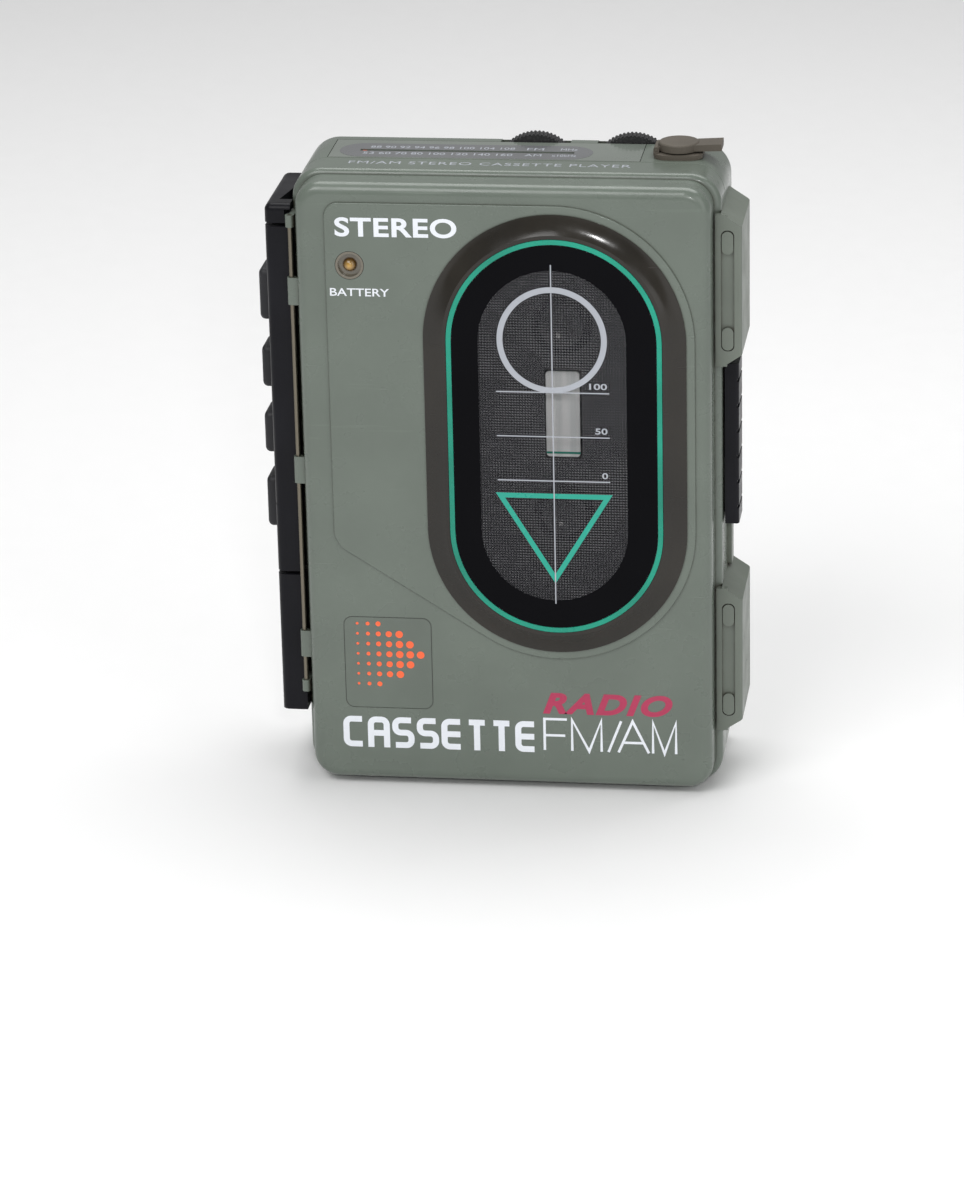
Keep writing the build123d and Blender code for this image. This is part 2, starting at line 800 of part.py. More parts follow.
with BuildPart() as motor_pulley:
    with BuildSketch(Plane.XZ.offset(flywheel_depth)):
        with Locations((motor_x, motor_z)):
            Circle(motor_pulley_radius)
    extrude(amount=-flywheel_thickness)
    with BuildSketch(Plane.XZ.offset(belt_depth + belt_size / 2 + belt_clearance)):
        with Locations((motor_x, motor_z)):
            Circle(motor_pulley_radius)
            Circle(motor_pulley_radius - belt_size, mode=Mode.SUBTRACT)
    extrude(amount=-belt_size - 2 * belt_clearance, mode=Mode.SUBTRACT)
    with BuildSketch(Plane.XZ.offset(flywheel_depth)):
        with Locations((motor_x, motor_z)):
            Circle(motor_shaft)
    extrude(amount=motor_back + motor_shaft_reach - flywheel_depth)
motor_pulley.part.label = "motor_pulley"
export_step(motor_pulley.part, "parts/motor_pulley.step")

with BuildPart() as drive_belt:
    with BuildSketch(Plane.XZ.offset(belt_depth + belt_size / 2)):
        with Locations((capstan_x, capstan_z)):
            Circle(flywheel_radius + belt_clearance)
        with Locations((motor_x, motor_z)):
            Circle(motor_pulley_radius + belt_clearance)
        make_hull()
    extrude(amount=-belt_size)
    with BuildSketch(Plane.XZ.offset(belt_depth + belt_size / 2)):
        with Locations((capstan_x, capstan_z)):
            Circle(flywheel_radius - belt_size + belt_clearance)
        with Locations((motor_x, motor_z)):
            Circle(motor_pulley_radius - belt_size + belt_clearance)
        make_hull()
    extrude(amount=-belt_size, mode=Mode.SUBTRACT)
drive_belt.part.label = "drive_belt"
export_step(drive_belt.part, "parts/drive_belt.step")

# Head carriage with the tape head on it
carriage_back = chassis_front + carriage_gap
with BuildPart() as head_carriage:
    with BuildSketch(Plane.XZ.offset(carriage_back)):
        with Locations((head_x + head_length / 2, hub_z + carriage_rise)):
            RectangleRounded(
                head_length + 2 * carriage_margin_x,
                head_width + 2 * carriage_margin_z,
                carriage_corner,
            )
    extrude(amount=carriage_thickness)
head_carriage.part.label = "head_carriage"
export_step(head_carriage.part, "parts/head_carriage.step")

with BuildPart() as tape_head:
    with BuildSketch(Plane.XZ.offset(carriage_back + carriage_thickness)):
        with Locations((head_x + head_length / 2, hub_z)):
            Rectangle(head_length, head_width)
    extrude(amount=spindle_tip_depth - carriage_back - carriage_thickness)
    fillet(tape_head.edges().filter_by(Axis.Y).group_by(Axis.X)[-1], head_round)
tape_head.part.label = "tape_head"
export_step(tape_head.part, "parts/tape_head.step")

# Pinch roller on its swinging arm
roller_x = pinch_pivot_x + pinch_reach_x
roller_z = pinch_pivot_z + pinch_reach_z
arm_front = carriage_back + pinch_arm_thickness
with BuildPart() as pinch_arm:
    with BuildSketch(Plane.XZ.offset(carriage_back)):
        with Locations((pinch_pivot_x, pinch_pivot_z)):
            Circle(pinch_arm_root)
        with Locations((roller_x, roller_z)):
            Circle(pinch_arm_end)
        make_hull()
    extrude(amount=arm_front - carriage_back)
    with BuildSketch(Plane.XZ.offset(arm_front)):
        with Locations((roller_x, roller_z)):
            Circle(pinch_pin)
    extrude(amount=spindle_tip_depth - arm_front)
    with BuildSketch(Plane.XZ.offset(carriage_back)):
        with Locations((pinch_pivot_x, pinch_pivot_z)):
            Circle(capstan_radius + running_clearance)
    extrude(amount=arm_front - carriage_back, mode=Mode.SUBTRACT)
pinch_arm.part.label = "pinch_arm"
export_step(pinch_arm.part, "parts/pinch_arm.step")

with BuildPart() as pinch_roller:
    with BuildSketch(Plane.XZ.offset(arm_front + pinch_roller_gap)):
        with Locations((roller_x, roller_z)):
            Circle(pinch_roller_radius)
            Circle(pinch_pin + running_clearance, mode=Mode.SUBTRACT)
    extrude(amount=spindle_tip_depth - arm_front - 3 * pinch_roller_gap)
pinch_roller.part.label = "pinch_roller"
export_step(pinch_roller.part, "parts/pinch_roller.step")

# White card behind the window's centre
with BuildPart() as reflector:
    with BuildSketch(Plane.XZ.offset(chassis_front)):
        with Locations((hub_x, reflector_z)):
            RectangleRounded(reflector_width, reflector_height, reflector_corner)
    extrude(amount=reflector_thickness)
reflector.part.label = "reflector"
export_step(reflector.part, "parts/reflector.step")

# Circuit board on the rear case's posts, with parts on its front face
with BuildPart() as circuit_board:
    with BuildSketch(Plane.XZ.offset(board_depth)):
        with Locations((0, (board_bottom + board_top) / 2)):
            Rectangle(2 * board_half_width, board_top - board_bottom)
    extrude(amount=-board_thickness)
circuit_board.part.label = "circuit_board"
export_step(circuit_board.part, "parts/circuit_board.step")

with BuildPart() as chips:
    with BuildSketch(Plane.XZ.offset(board_depth)):
        with Locations(*chip_places):
            Rectangle(*chip_size)
    extrude(amount=chip_height)
chips.part.label = "chips"
export_step(chips.part, "parts/chips.step")

with BuildPart() as capacitors:
    with BuildSketch(Plane.XZ.offset(board_depth)):
        with Locations(*capacitor_places):
            Circle(capacitor_radius)
    extrude(amount=capacitor_height)
capacitors.part.label = "capacitors"
export_step(capacitors.part, "parts/capacitors.step")

with BuildPart() as tuner_cans:
    with BuildSketch(Plane.XZ.offset(board_depth)):
        with Locations(*can_places):
            RectangleRounded(can_size, can_size, can_corner)
    extrude(amount=can_height)
tuner_cans.part.label = "tuner_cans"
export_step(tuner_cans.part, "parts/tuner_cans.step")

with BuildPart() as rod_antenna:
    with BuildSketch(Plane.YZ.offset(rod_antenna_left)):
        with Locations((0, rod_antenna_z)):
            Circle(rod_antenna_radius)
    extrude(amount=rod_antenna_right - rod_antenna_left)
rod_antenna.part.label = "rod_antenna"
export_step(rod_antenna.part, "parts/rod_antenna.step")

with BuildPart() as antenna_coil:
    with BuildSketch(Plane.YZ.offset(rod_antenna_left + coil_offset)):
        with Locations((0, rod_antenna_z)):
            Circle(rod_antenna_radius + coil_thickness)
            Circle(rod_antenna_radius, mode=Mode.SUBTRACT)
    extrude(amount=coil_length)
antenna_coil.part.label = "antenna_coil"
export_step(antenna_coil.part, "parts/antenna_coil.step")

# Thumbwheels and what they turn
wheel_front = -(wheel_y - wheel_thickness / 2)
control_back = wheel_front + wheel_clearance
control_top = case_height - wall - control_top_gap
with BuildPart() as tuning_capacitor:
    with BuildSketch(Plane.XZ.offset(control_back)):
        with Locations((tuning_x, control_top - tuning_size[1] / 2)):
            Rectangle(*tuning_size)
        with Locations((tuning_x, wheel_z)):
            Circle(wheel_shaft + running_clearance, mode=Mode.SUBTRACT)
    extrude(amount=control_front - control_back)
tuning_capacitor.part.label = "tuning_capacitor"
export_step(tuning_capacitor.part, "parts/tuning_capacitor.step")

with BuildPart() as volume_pot:
    with BuildSketch(Plane.XZ.offset(control_back)):
        with Locations((volume_x, control_top - volume_body_radius)):
            Circle(volume_body_radius)
        with Locations((volume_x, control_top - volume_body_radius - volume_foot_drop)):
            Rectangle(*volume_foot)
        with Locations((volume_x, wheel_z)):
            Circle(wheel_shaft + running_clearance, mode=Mode.SUBTRACT)
    extrude(amount=control_front - control_back)
volume_pot.part.label = "volume_pot"
export_step(volume_pot.part, "parts/volume_pot.step")

for name, x in (("tuning_wheel", tuning_x), ("volume_wheel", volume_x)):
    with BuildPart() as wheel:
        with BuildSketch(Plane.XZ.offset(wheel_front)):
            with Locations((x, wheel_z)):
                Circle(wheel_radius)
                with PolarLocations(wheel_radius, wheel_notches):
                    Circle(wheel_notch_radius, mode=Mode.SUBTRACT)
        extrude(amount=-wheel_thickness)
        with BuildSketch(Plane.XZ.offset(wheel_front)):
            with Locations((x, wheel_z)):
                Circle(wheel_shaft)
        extrude(amount=control_front - wheel_clearance - wheel_front)
    wheel.part.label = name
    export_step(wheel.part, f"parts/{name}.step")

# Dial insert in the top face, with a slot for the pointer
with BuildPart() as dial_panel:
    with BuildSketch(Plane.XY.offset(case_height - dial_thickness)):
        with Locations(((dial_left + dial_right) / 2, (dial_front + dial_back) / 2)):
            Rectangle(dial_right - dial_left, dial_back - dial_front)
        with Locations((pointer_start + pointer_travel / 2, pointer_y)):
            Rectangle(
                pointer_travel + 2 * pointer_width,
                pointer_width + 2 * dial_gap,
                mode=Mode.SUBTRACT,
            )
    extrude(amount=dial_thickness)
dial_panel.part.label = "dial_panel"
export_step(dial_panel.part, "parts/dial_panel.step")

with BuildPart() as dial_pointer:
    carriage_top = case_height - wall - pointer_carriage_gap
    with BuildSketch(Plane.XY.offset(carriage_top - pointer_carriage_height)):
        with Locations((pointer_start, pointer_y)):
            Rectangle(*pointer_carriage)
    extrude(amount=pointer_carriage_height)
    with BuildSketch(Plane.XY.offset(carriage_top)):
        with Locations((pointer_start, pointer_y)):
            Rectangle(pointer_width, pointer_width)
    extrude(amount=case_height - pointer_sunk - carriage_top)
dial_pointer.part.label = "dial_pointer"
export_step(dial_pointer.part, "parts/dial_pointer.step")

# Headphone socket, the cap's base and the hinged rubber cap
jack_top = case_height + jack_proud
with BuildPart() as jack_socket:
    with BuildSketch(Plane.XY.offset(jack_top - jack_length - jack_floor)):
        with Locations((jack_x, jack_y)):
            Rectangle(jack_body, jack_body)
    extrude(amount=case_height - wall - jack_top + jack_length + jack_floor)
    with BuildSketch(Plane.XY.offset(case_height - wall)):
        with Locations((jack_x, jack_y)):
            Circle(jack_barrel)
    extrude(amount=wall + jack_proud)
    with BuildSketch(Plane.XY.offset(jack_top)):
        with Locations((jack_x, jack_y)):
            Circle(jack_bore)
    extrude(amount=-jack_length, mode=Mode.SUBTRACT)
jack_socket.part.label = "jack_socket"
export_step(jack_socket.part, "parts/jack_socket.step")

cap_bottom = case_height + cap_base_thickness + cap_gap
strap_width, strap_thickness = cap_strap
cap_hinge_z = cap_bottom + strap_thickness / 2
ear_start = strap_width / 2 + cap_ear_gap
with BuildPart() as cap_base:
    with BuildSketch(Plane.XY.offset(case_height)):
        with Locations((jack_x, jack_y)):
            RectangleRounded(*cap_base_size, cap_base_corner)
        with Locations((jack_x, jack_y)):
            Circle(jack_barrel + 2 * jack_clearance, mode=Mode.SUBTRACT)
    extrude(amount=cap_base_thickness)
    # Ears that hold the cap's pin
    for side in (-1, 1):
        with BuildSketch(Plane.XZ.offset(-jack_y + side * ear_start)):
            with Locations((cap_hinge_x, cap_hinge_z)):
                Circle(cap_barrel)
            ear_foot = cap_hinge_z - case_height - cap_base_thickness / 2
            with Locations((cap_hinge_x, cap_hinge_z - ear_foot / 2)):
                Rectangle(2 * cap_barrel, ear_foot)
            with Locations((cap_hinge_x, cap_hinge_z)):
                Circle(cap_pin + running_clearance, mode=Mode.SUBTRACT)
        extrude(amount=side * cap_ear)
cap_base.part.label = "cap_base"
export_step(cap_base.part, "parts/cap_base.step")

with BuildPart() as jack_cap:
    with BuildSketch(Plane.XY.offset(cap_bottom)):
        with Locations((jack_x, jack_y)):
            Circle(cap_radius)
    extrude(amount=cap_thickness)
    fillet(jack_cap.faces().sort_by(Axis.Z)[-1].edges(), cap_round)
    with BuildSketch(Plane.XY.offset(cap_bottom)):
        with Locations(((cap_hinge_x + jack_x) / 2, jack_y)):
            Rectangle(jack_x - cap_hinge_x, strap_width)
    extrude(amount=strap_thickness)
    with BuildSketch(Plane.XZ.offset(-jack_y)):
        with Locations((cap_hinge_x, cap_hinge_z)):
            Circle(cap_barrel)
    extrude(amount=strap_width / 2, both=True)
    with BuildSketch(Plane.XZ.offset(-jack_y)):
        with Locations((cap_hinge_x, cap_hinge_z)):
            Circle(cap_pin)
    extrude(amount=ear_start + cap_ear, both=True)
    # Finger tab
    with BuildSketch(Plane.XZ.offset(-jack_y)):
        with BuildLine():
            Polyline(
                (jack_x + cap_tab_root, cap_bottom + cap_tab_root_levels[0]),
                (jack_x + cap_tab_reach, cap_bottom + cap_tab_end_levels[0]),
                (jack_x + cap_tab_reach, cap_bottom + cap_tab_end_levels[1]),
                (jack_x + cap_tab_root, cap_bottom + cap_tab_root_levels[1]),
                close=True,
            )
        make_face()
    extrude(amount=cap_tab_width / 2, both=True)
jack_cap.part.label = "jack_cap"
export_step(jack_cap.part, "parts/jack_cap.step")

# Black rail on the left side, in three pieces
rail_pieces = (
    ("strap_bracket", rail_upper_split + rail_split_gap / 2, rail_top),
    ("control_panel", rail_lower_split + rail_split_gap / 2, rail_upper_split - rail_split_gap / 2),
    ("lower_bracket", rail_bottom, rail_lower_split - rail_split_gap / 2),
)
rail_left = -half_width - rail_width
for name, bottom, top in rail_pieces:
    with BuildPart() as rail:
        with BuildSketch(Plane.XY.offset(bottom)):
            with Locations((-half_width - rail_width / 2, -(rail_front + rail_back) / 2)):
                Rectangle(rail_width, rail_front - rail_back)
        extrude(amount=top - bottom)
        fillet(rail.edges().filter_by(Axis.Z).group_by(Axis.X)[0], rail_round)
        if name == "strap_bracket":
            fillet(rail.faces().sort_by(Axis.Z)[-1].edges().group_by(Axis.X)[0], strap_round)
            with BuildSketch(Plane.XY.offset(bottom)):
                with BuildLine():
                    Polyline(
                        (-half_width, -strap_slot_front),
                        (-half_width - strap_slot_width, -strap_slot_front),
                        (-half_width - strap_wall, -strap_slot_back),
                        (-half_width, -strap_slot_back),
                        close=True,
                    )
                make_face()
            extrude(amount=top - bottom, mode=Mode.SUBTRACT)
            with BuildSketch(Plane.XY.offset(bottom + strap_wall)):
                with Locations((-half_width - strap_wall / 2, -(rail_front + strap_slot_front) / 2)):
                    Rectangle(strap_wall, rail_front - strap_slot_front)
            extrude(amount=top - bottom - 2 * strap_wall, mode=Mode.SUBTRACT)
        if name == "control_panel":
            for label, height, size in buttons:
                with BuildSketch(Plane.YZ.offset(rail_left)):
                    with Locations((-button_depth, height)):
                        RectangleRounded(
                            button_width + 2 * button_clearance,
                            size + 2 * button_clearance,
                            button_round + button_clearance,
                        )
                extrude(amount=rail_width - rail_floor, mode=Mode.SUBTRACT)
                with BuildSketch(Plane.YZ.offset(rail_left)):
                    with Locations((-stem_depth, height)):
                        Rectangle(
                            stem_width + 2 * button_clearance,
                            stem_height + 2 * button_clearance,
                        )
                extrude(amount=rail_width, mode=Mode.SUBTRACT)
    rail.part.label = name
    export_step(rail.part, f"parts/{name}.step")

# Push buttons with stems that reach into the case
button_back = -half_width - rail_floor - button_travel - button_back_gap
for name, height, size in buttons:
    with BuildPart() as button:
        with BuildSketch(Plane.YZ.offset(rail_left - button_proud)):
            with Locations((-button_depth, height)):
                RectangleRounded(button_width, size, button_round)
        extrude(amount=button_back - rail_left + button_proud)
        fillet(button.faces().sort_by(Axis.X)[0].edges(), button_edge_round)
        with BuildSketch(Plane.YZ.offset(button_back)):
            with Locations((-stem_depth, height)):
                Rectangle(stem_width, stem_height)
        extrude(amount=-half_width + stem_reach - button_back)
    button.part.label = name
    export_step(button.part, f"parts/{name}.step")

# Guard blocks on the right side, wrapping onto the front face
guard_right = half_width + guard_width
for name, (bottom, top) in (("upper_guard", upper_guard), ("lower_guard", lower_guard)):
    with BuildPart() as guard:
        with BuildSketch(Plane.XZ.offset(guard_back)):
            with BuildLine():
                Polyline(
                    (half_width, bottom),
                    (guard_right, bottom + guard_slope),
                    (guard_right, top - guard_slope),
                    (half_width, top),
                    close=True,
                )
            make_face()
        extrude(amount=guard_front - guard_back)
        with BuildSketch(Plane.XZ.offset(front_face)):
            with Locations((half_width, (bottom + top) / 2)):
                Rectangle(2 * guard_lap, top - bottom - 2 * guard_lap_shy)
        extrude(amount=guard_front - front_face)
        fillet(guard.edges().filter_by(Axis.Z).group_by(Axis.X)[-1], guard_round)
        with BuildSketch(Plane.XZ.offset(guard_front)):
            with Locations((half_width + pad_inset + pad_width / 2, (bottom + top) / 2)):
                slot_height = top - bottom - 2 * pad_end_offset + pad_length + 2 * pad_gap
                RectangleRounded(pad_width + 2 * pad_gap, slot_height, pad_width / 2)
        extrude(amount=-pad_recess, mode=Mode.SUBTRACT)
    guard.part.label = name
    export_step(guard.part, f"parts/{name}.step")

with BuildPart() as guard_pads:
    with BuildSketch(Plane.XZ.offset(guard_front - pad_recess)):
        for bottom, top in (upper_guard, lower_guard):
            for height in (bottom + pad_end_offset, top - pad_end_offset):
                with Locations((half_width + pad_inset + pad_width / 2, height)):
                    SlotOverall(pad_length, pad_width, rotation=90)
    extrude(amount=pad_recess + pad_proud)
guard_pads.part.label = "guard_pads"
export_step(guard_pads.part, "parts/guard_pads.step")

# Sliding catch for the door, held by a plate inside the wall
latch_left = half_width + latch_gap
latch_middle = (latch_bottom + latch_top) / 2
with BuildPart() as latch:
    with BuildSketch(Plane.XZ.offset(latch_back)):
        with Locations((latch_left + latch_width / 2, latch_middle)):
            Rectangle(latch_width, latch_top - latch_bottom)
    extrude(amount=latch_front - latch_back)
    fillet(latch.edges().filter_by(Axis.Z).group_by(Axis.X)[-1], latch_round)
    with BuildSketch(Plane.XZ.offset(latch_back)):
        with Locations((latch_left + latch_width, latch_middle)):
            with GridLocations(0, latch_groove_pitch, 1, latch_grooves):
                Rectangle(latch_groove, latch_groove)
    extrude(amount=latch_front - latch_back, mode=Mode.SUBTRACT)
    with BuildSketch(Plane.YZ.offset(latch_left)):
        with Locations((-stem_depth, latch_middle)):
            Rectangle(latch_shank_width, latch_shank)
    extrude(amount=-latch_gap - wall - latch_plate_gap)
    with BuildSketch(Plane.YZ.offset(half_width - wall - latch_plate_gap)):
        with Locations((-stem_depth, latch_middle)):
            Rectangle(latch_plate_width, latch_shank + 2 * latch_plate_margin)
    extrude(amount=-latch_plate)
latch.part.label = "latch"
export_step(latch.part, "parts/latch.step")

with BuildPart() as latch_track:
    with BuildSketch(Plane.YZ.offset(half_width)):
        track_y = -latch_back + track_setback + track_depth / 2
        track_length = upper_guard[0] - lower_guard[1] - 2 * track_end_gap
        with Locations((track_y, (lower_guard[1] + upper_guard[0]) / 2)):
            RectangleRounded(track_depth, track_length, track_corner)
    extrude(amount=track_width)
latch_track.part.label = "latch_track"
export_step(latch_track.part, "parts/latch_track.step")

# Battery box behind the bottom of the door
tray_half = cell_length / 2 + contact_room
tray_back = cell_rear_depth - cell_radius - tray_clearance - tray_wall
tray_front = rim_front - tray_front_gap
with BuildPart() as battery_tray:
    with BuildSketch(Plane.XZ.offset(tray_back)):
        with Locations((0, cell_z)):
            Rectangle(2 * (tray_half + tray_wall), 2 * (cell_radius + tray_clearance + tray_wall))
    extrude(amount=tray_front - tray_back)
    with BuildSketch(Plane.XZ.offset(tray_back + tray_wall)):
        with Locations((0, cell_z)):
            Rectangle(2 * tray_half, 2 * (cell_radius + tray_clearance))
    extrude(amount=tray_front - tray_back - tray_wall, mode=Mode.SUBTRACT)
battery_tray.part.label = "battery_tray"
export_step(battery_tray.part, "parts/battery_tray.step")

for name, depth, side in (
    ("cell_front", cell_front_depth, 1),
    ("cell_rear", cell_rear_depth, -1),
):
    with BuildPart() as cell:
        with BuildSketch(Plane.YZ.offset(-side * cell_length / 2)):
            with Locations((-depth, cell_z)):
                Circle(cell_radius)
        extrude(amount=side * (cell_length - cell_cap_height))
        fillet(cell.edges(), cell_round)
        with BuildSketch(Plane.YZ.offset(side * (cell_length / 2 - cell_cap_height))):
            with Locations((-depth, cell_z)):
                Circle(cell_cap_radius)
        extrude(amount=side * cell_cap_height)
    cell.part.label = name
    export_step(cell.part, f"parts/{name}.step")

spring_room = contact_room - contact_thickness
with BuildPart() as battery_contacts:
    for depth, side in ((cell_front_depth, 1), (cell_rear_depth, -1)):
        for end in (side, -side):
            with BuildSketch(Plane.YZ.offset(end * tray_half)):
                with Locations((-depth, cell_z)):
                    Rectangle(contact_size, contact_size)
            extrude(amount=-end * contact_thickness)
        with BuildSketch(Plane.YZ.offset(side * (tray_half - contact_thickness))):
            with Locations((-depth, cell_z)):
                Circle(contact_boss)
        extrude(amount=-side * spring_room)
battery_contacts.part.label = "battery_contacts"
export_step(battery_contacts.part, "parts/battery_contacts.step")

with BuildPart() as battery_springs:
    for depth, side in ((cell_front_depth, -1), (cell_rear_depth, 1)):
        for turn in range(spring_turns):
            ring_x = side * (tray_half - contact_thickness - spring_room * (turn + 0.5) / spring_turns)
            ring_radius = spring_radius - spring_taper * turn
            with BuildSketch(Plane.YZ.offset(ring_x - spring_room / spring_turns / 2)):
                with Locations((-depth, cell_z)):
                    Circle(ring_radius)
                    Circle(ring_radius - spring_wire, mode=Mode.SUBTRACT)
            extrude(amount=spring_room / spring_turns)
battery_springs.part.label = "battery_springs"
export_step(battery_springs.part, "parts/battery_springs.step")

with BuildPart() as battery_cover:
    cover_half = tray_half + tray_wall + cover_lap
    with BuildSketch(Plane.XZ.offset(rim_front)):
        with Locations((0, cell_z)):
            Rectangle(2 * cover_half, 2 * (cell_radius + tray_clearance + tray_wall) + 2 * cover_lap)
    extrude(amount=cover_thickness)
    with BuildSketch(Plane.XZ.offset(rim_front + cover_thickness)):
        with Locations((-cover_half + cover_grip_x, cell_z)):
            with GridLocations(cover_groove_pitch, 0, cover_grooves, 1):
                Rectangle(*cover_groove)
    extrude(amount=-cover_groove_depth, mode=Mode.SUBTRACT)
battery_cover.part.label = "battery_cover"
export_step(battery_cover.part, "parts/battery_cover.step")

# Slide switches in the back wall
for name, x, travel in switches:
    with BuildPart() as switch:
        with BuildSketch(Plane.XZ.offset(back_face + switch_sunk)):
            with Locations((x, switch_z)):
                Rectangle(switch_knob_width, switch_knob_height)
        extrude(amount=back_wall - switch_sunk + switch_flange_gap)
        with BuildSketch(Plane.XZ.offset(back_face + switch_sunk)):
            with Locations((x, switch_z)):
                with GridLocations(switch_groove_pitch, 0, 3, 1):
                    Rectangle(switch_groove, switch_knob_height)
        extrude(amount=switch_groove, mode=Mode.SUBTRACT)
        with BuildSketch(Plane.XZ.offset(back_face + back_wall + switch_flange_gap)):
            with Locations((x, switch_z)):
                Rectangle(switch_knob_width + 2 * switch_flange, switch_knob_height + 2 * switch_flange)
        extrude(amount=switch_flange_thickness)
    switch.part.label = name
    export_step(switch.part, f"parts/{name}.step")

# Screws
with BuildPart() as case_screws:
    head_back = back_face + screw_recess
    for height in case_screw_heights:
        for x in (-screw_x, screw_x):
            with BuildSketch(Plane.XZ.offset(head_back)):
                with Locations((x, height)):
                    Circle(screw_head)
            extrude(amount=screw_head_height)
            with BuildSketch(Plane.XZ.offset(head_back + screw_head_height)):
                with Locations((x, height)):
                    Circle(screw_shank)
            extrude(amount=seam + screw_grip - head_back - screw_head_height)
            with BuildSketch(Plane.XZ.offset(head_back)):
                with Locations((x, height)):
                    Rectangle(*screw_slot)
                    Rectangle(*reversed(screw_slot))
            extrude(amount=screw_slot_depth, mode=Mode.SUBTRACT)
case_screws.part.label = "case_screws"
export_step(case_screws.part, "parts/case_screws.step")

with BuildPart() as chassis_screws:
    for height in chassis_screw_heights:
        for x in (-screw_x, screw_x):
            with BuildSketch(Plane.XZ.offset(chassis_back)):
                with Locations((x, height)):
                    Circle(chassis_screw_head)
            extrude(amount=-chassis_screw_head_height)
            with BuildSketch(Plane.XZ.offset(chassis_back)):
                with Locations((x, height)):
                    Circle(screw_shank)
            extrude(amount=chassis_thickness + screw_grip)
chassis_screws.part.label = "chassis_screws"
export_step(chassis_screws.part, "parts/chassis_screws.step")
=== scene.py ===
import math

import bmesh
import bpy
from mathutils import Matrix, Vector


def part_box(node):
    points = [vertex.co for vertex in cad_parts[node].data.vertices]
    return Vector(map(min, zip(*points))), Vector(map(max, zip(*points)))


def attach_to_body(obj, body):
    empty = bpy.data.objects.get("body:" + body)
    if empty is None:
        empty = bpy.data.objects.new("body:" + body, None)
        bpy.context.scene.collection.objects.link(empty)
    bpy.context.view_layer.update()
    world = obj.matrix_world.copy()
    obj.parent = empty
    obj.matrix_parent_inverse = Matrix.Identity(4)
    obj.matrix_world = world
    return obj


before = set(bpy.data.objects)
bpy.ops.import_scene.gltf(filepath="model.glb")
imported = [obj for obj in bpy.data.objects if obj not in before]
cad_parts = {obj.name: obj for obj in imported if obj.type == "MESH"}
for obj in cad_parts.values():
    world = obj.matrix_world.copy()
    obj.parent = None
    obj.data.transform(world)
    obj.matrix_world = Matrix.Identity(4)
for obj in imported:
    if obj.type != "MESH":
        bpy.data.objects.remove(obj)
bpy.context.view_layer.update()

MM = 0.001
INK = 0.03  # thickness of a printed mark, in millimetres
STEP = 0.004  # strokes in turn are this much thicker, so that crossings don't share a face
STEP_CYCLE = 5  # after this many strokes the thicknesses start again
MITRE_LIMIT = 0.35  # smallest cosine used at a corner, so that no mitre runs far out
MERGE = 1e-7  # metres within which two points are one

CAMERA_PLACE = (126.74, -954.79, 406.45)
CAMERA_TARGET = (-5.47, -24.0, 44.96)
CAMERA_ROLL = math.radians(-1.30)
CAMERA_LENS = 140.94

SKY_STRENGTH = 0.36
FLOOR_HALF = 6.0  # metres
LIGHT_TARGET = (0.0, 0.0, 70.0)
# Each light's name, place in millimetres, width and height in metres, and power in watts.
LIGHTS = (
    ("key", (-350.0, -700.0, 900.0), (0.7, 0.5), 5.4),
    ("fill", (750.0, -600.0, 450.0), (0.6, 0.9), 2.2),
    ("top", (60.0, 250.0, 900.0), (0.9, 0.5), 5.0),
    ("flash", (170.0, -930.0, 470.0), (0.07, 0.05), 1.6),
)

# Sizes in millimetres of the marks in a finish.
PATCH = 18.0
SPECK = 0.35
HANDLING = 7.0
SCRATCH = 3.0
CREASE = 1.6
DIRT_PATCH = 2.5
DIRT = (0.035, 0.026, 0.014)


# ---------------------------------------------------------------- camera, light and floor

def aim(obj, place, target, roll=0.0):
    """Puts an object at a place in millimetres and turns its -Z towards the target."""
    obj.location = Vector(place) * MM
    look = (Vector(target) - Vector(place)).normalized()
    turn = look.to_track_quat("-Z", "Y").to_matrix() @ Matrix.Rotation(roll, 3, "Z")
    obj.rotation_euler = turn.to_euler()


def make_camera():
    data = bpy.data.cameras.new("camera")
    data.sensor_width = 36.0
    data.lens = CAMERA_LENS
    data.clip_start = 0.01
    data.clip_end = 50.0
    camera = bpy.data.objects.new("camera", data)
    bpy.context.scene.collection.objects.link(camera)
    aim(camera, CAMERA_PLACE, CAMERA_TARGET, CAMERA_ROLL)
    bpy.context.scene.camera = camera


def make_light(name, place, size, power):
    data = bpy.data.lights.new(name, "AREA")
    data.shape = "RECTANGLE"
    data.size, data.size_y = size
    data.energy = power
    light = bpy.data.objects.new(name, data)
    bpy.context.scene.collection.objects.link(light)
    aim(light, place, LIGHT_TARGET)


def make_stage():
    world = bpy.data.worlds.new("studio")
    bpy.context.scene.world = world
    world.use_nodes = True
    sky = world.node_tree.nodes["Background"]
    sky.inputs["Color"].default_value = (1.0, 1.0, 1.0, 1.0)
    sky.inputs["Strength"].default_value = SKY_STRENGTH
    mesh = bpy.data.meshes.new("floor")
    corners = [(x * FLOOR_HALF, y * FLOOR_HALF, 0) for x, y in ((-1, -1), (1, -1), (1, 1), (-1, 1))]
    mesh.from_pydata(corners, [], [(0, 1, 2, 3)])
    floor = bpy.data.objects.new("floor", mesh)
    bpy.context.scene.collection.objects.link(floor)
    paper = finish_material("floor", (0.90, 0.90, 0.90), roughness=0.7, grain=0.0, variation=0.0)
    floor.data.materials.append(paper)
    for name, place, size, power in LIGHTS:
        make_light(name, place, size, power)


# ---------------------------------------------------------------- materials

